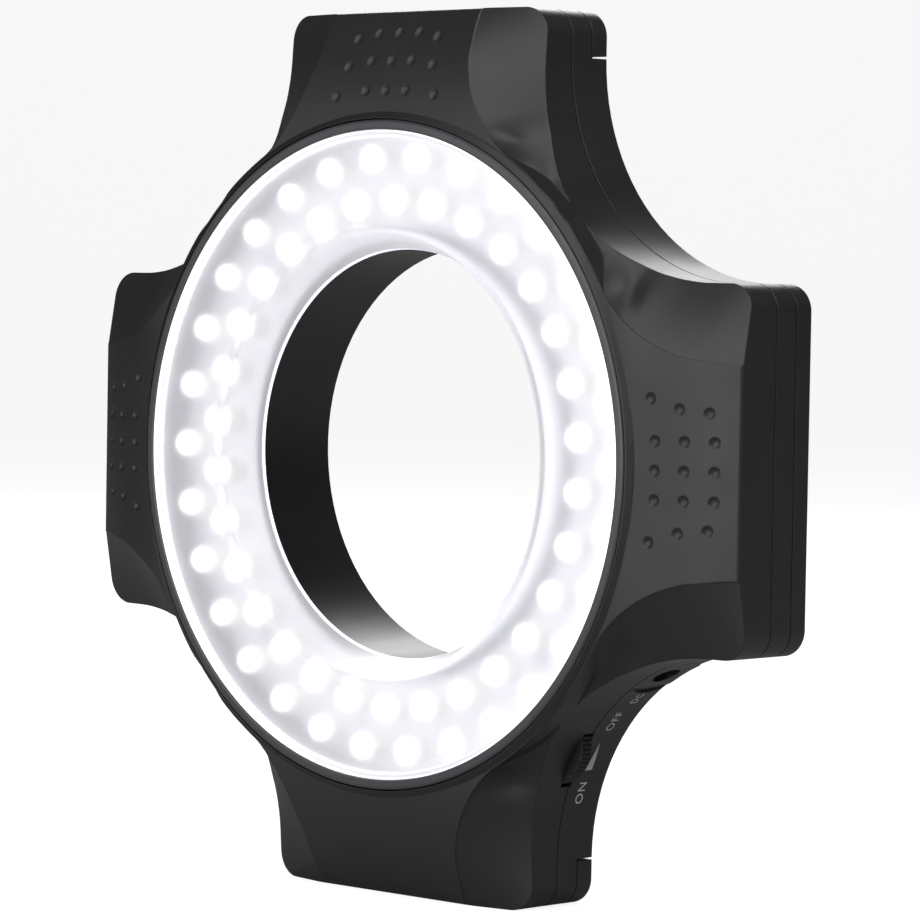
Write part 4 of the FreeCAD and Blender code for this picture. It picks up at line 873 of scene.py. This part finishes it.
CASE_SEAT, DRIVER_SEAT = 6.0, 5.5
case_places = [(side_x * a, side_z * b) for a, b in ((64.0, 20.0), (20.0, 64.0))
               for side_x in (1, -1) for side_z in (1, -1)]
board_places = around(53.0, (45, 135, 225, 315))
driver_places = around(49.0, (-63,)) + around(58.0, (-42,))
add_screws("case_screws", case_places, CASE_SEAT, (1.2, 2.1, 1.6, 8.5), 3, flip=math.pi)
add_screws("board_screws", board_places, BOARD_FRONT, (1.0, 1.8, 1.0, 6.0), 5)
add_screws("driver_screws", driver_places, DRIVER_SEAT, (0.8, 1.6, 1.0, 3.0), 8)

# %% [markdown]
# ## Thumbwheel
# The dimmer's wheel stands half out of its slot in the lower right side wall, with fifty-four
# ribs for the thumb. It is the lathe again, with its rib inputs in use, and it rides on
# the dimmer's body, so it turns with its shaft.

# %% Thumbwheel
WHEEL_CENTRE = (34.2958 * MM, 0, -53.2621 * MM)
WHEEL_OUTLINE = [(1.55, 9.9, 0), (7.8, 9.9, 0.3), (7.8, 12.7, 0.3), (1.55, 12.7, 0)]
RIBS, RIB_DEPTH, RIBBED_FROM = 54, 0.34, 7.1

wheel = turned("thumbwheel", rounded_loop(WHEEL_OUTLINE, steps=3), steps=8 * RIBS,
               centre=WHEEL_CENTRE, finish=FINISHES["wheel"], Ribs=float(RIBS),
               Rib_depth=RIB_DEPTH * MM, Ribbed_from=RIBBED_FROM * MM)
settle(wheel, "dimmer", "wheel", "dimmer_wheel")

# %% [markdown]
# ## Printed marks
# The dimmer's ON and OFF, the socket's DC and the wedge that shows which way is brighter
# are printed in white on the hollow side wall. Letters start as flat text, become a mesh,
# get the thickness of a coat of ink, and are then wrapped on the wall: their width runs
# along the arc and their height towards the front.

# %% Wrap flat shapes on the side wall
ARC_CENTRE, ARC_RADIUS = 76.0, 42.0
INK = 0.03
SAME_POINT = 1e-6


def on_wall(angle, height, lift):
    turn = math.radians(angle)
    radius = ARC_RADIUS - lift
    x, z = ARC_CENTRE + radius * math.cos(turn), -ARC_CENTRE + radius * math.sin(turn)
    return Vector((x, -height, z)) * MM


def wrapped(name, mesh, start, end, low, high):
    """Stretches a flat mesh over the wall from one bearing to another and gives it thickness."""
    shape = bmesh.new()
    shape.from_mesh(mesh)
    bmesh.ops.remove_doubles(shape, verts=shape.verts, dist=SAME_POINT)
    wide = [vert.co.x for vert in shape.verts]
    tall = [vert.co.y for vert in shape.verts]
    left, right, foot, head = min(wide), max(wide), min(tall), max(tall)
    lifted = bmesh.ops.extrude_face_region(shape, geom=list(shape.faces), use_keep_orig=True)
    raised = {item for item in lifted["geom"] if isinstance(item, bmesh.types.BMVert)}
    for vert in shape.verts:
        across, up = (vert.co.x - left) / (right - left), (vert.co.y - foot) / (head - foot)
        lift = INK if vert in raised else -INK
        vert.co = on_wall(start + (end - start) * across, low + (high - low) * up, lift)
    bmesh.ops.recalc_face_normals(shape, faces=shape.faces)
    shape.to_mesh(mesh)
    shape.free()
    mesh.materials.clear()
    mesh.materials.append(MARK)
    settle(piece_of(name, mesh), "root", "white_sheet")


def letters(text):
    curve = bpy.data.curves.new("letters", "FONT")
    curve.body, curve.size, curve.space_character, curve.resolution_u = text, 1.0, 1.12, 3
    item = piece_of("letters", curve)
    bpy.context.view_layer.update()
    seen = item.evaluated_get(bpy.context.evaluated_depsgraph_get())
    mesh = bpy.data.meshes.new_from_object(seen)
    bpy.data.objects.remove(item)
    return mesh


print("wall arc: centre", ARC_CENTRE, "radius", ARC_RADIUS)

# %% Marks
# Each word has its first and last bearing round the wall and its lower and upper height.
WORDS = {
    "ON": (164.9, 158.9, 5.5, 7.5),
    "OFF": (142.7, 136.0, 5.35, 7.35),
    "DC": (132.4, 128.4, 4.3, 6.2),
}
WEDGE_PLACE = (155.3, 146.8, 5.4, 7.3)
WEDGE = [(0, 0, 0), (0.5, 0.17, 0), (1, 0.62, 0), (0.5, 0.81, 0), (0, 1, 0)]

for word, place in WORDS.items():
    wrapped(f"mark_{word.lower()}", letters(word), *place)
wedge = bpy.data.meshes.new("wedge")
wedge.from_pydata(WEDGE, [], [tuple(range(len(WEDGE)))])
wrapped("mark_wedge", wedge, *WEDGE_PLACE)

# %% [markdown]
# ## Studio
# A pale paper floor curves up behind the light without a horizon. Large soft lamps stand on
# a sphere round it: two in front give the satin plastic its broad sheen, one to the left
# and one to the right draw the rims, and one above and one behind lift the upper and rear
# edges. The camera sees the paper and the world brighter than they light the object.

# %% Paper sweep
FLOOR = -85 * MM
SWEEP_NEAR, BEND_FROM, BEND_RADIUS, SWEEP_TOP, SWEEP_HALF = -3.0, 1.4, 0.9, 3.2, 4
BEND_STEPS = 24


def add_stage():
    profile = [(SWEEP_NEAR, FLOOR), (BEND_FROM, FLOOR)]
    for step in range(1, BEND_STEPS + 1):
        turn = math.radians(90 * step / BEND_STEPS)
        profile.append((BEND_FROM + BEND_RADIUS * math.sin(turn),
                        FLOOR + BEND_RADIUS * (1 - math.cos(turn))))
    profile.append((BEND_FROM + BEND_RADIUS, SWEEP_TOP))
    ahead = Vector((-LOOK_BACK.x, -LOOK_BACK.y, 0)).normalized()
    aside = Vector((-ahead.y, ahead.x, 0))
    shape = bmesh.new()
    rows = [[shape.verts.new(ahead * reach + Vector((0, 0, height)) + aside * side)
             for side in (SWEEP_HALF, -SWEEP_HALF)] for reach, height in profile]
    for near, far in zip(rows, rows[1:]):
        shape.faces.new((near[0], near[1], far[1], far[0])).smooth = True
    mesh = bpy.data.meshes.new("sweep")
    shape.to_mesh(mesh)
    shape.free()
    item = piece_of("sweep", mesh)
    paper, tree, shader = material("paper_sweep", Roughness=0.95, Emission_Strength=1.0,
                                   Specular_IOR_Level=0.0, Base_Color=grey(0.3))
    sight = node(tree, "ShaderNodeLightPath").outputs["Is Camera Ray"]
    plug(tree, shader.inputs["Emission Color"], colours(tree, sight, grey(0.02), grey(0.86)))
    mesh.materials.append(paper)
    return item


sweep = add_stage()
print("sweep:", len(sweep.data.polygons), "faces")

# %% Lamps
LAMP_SIZE, LAMP_DISTANCE = 0.8, 1.3
# Watts, bearing from the front towards +X and height over the horizon, both in degrees.
LAMPS = {
    "key": (4.6, 10, 40),
    "low_key": (6.4, 14, 3),
    "left": (4.8, -25, 5),
    "top": (2.6, 0, 75),
    "right": (10, 85, 40),
    "back": (10, 225, 35),
}


def add_light(name, power, azimuth, elevation):
    data = bpy.data.lights.new(name, "AREA")
    data.shape, data.size, data.energy = "DISK", LAMP_SIZE, power
    item = bpy.data.objects.new(name, data)
    a, e = math.radians(azimuth), math.radians(elevation)
    outward = Vector((math.sin(a) * math.cos(e), -math.cos(a) * math.cos(e), math.sin(e)))
    item.location = outward * LAMP_DISTANCE
    item.rotation_euler = outward.to_track_quat("Z", "Y").to_euler()
    bpy.context.collection.objects.link(item)


for name, values in LAMPS.items():
    add_light(name, *values)
world = bpy.data.worlds.new("studio")
bpy.context.scene.world = world
world.use_nodes = True
surround = world.node_tree
sight = node(surround, "ShaderNodeLightPath").outputs["Is Camera Ray"]
backdrop = colours(surround, sight, grey(0.03), grey(1.0))
plug(surround, surround.nodes["Background"].inputs["Color"], backdrop)
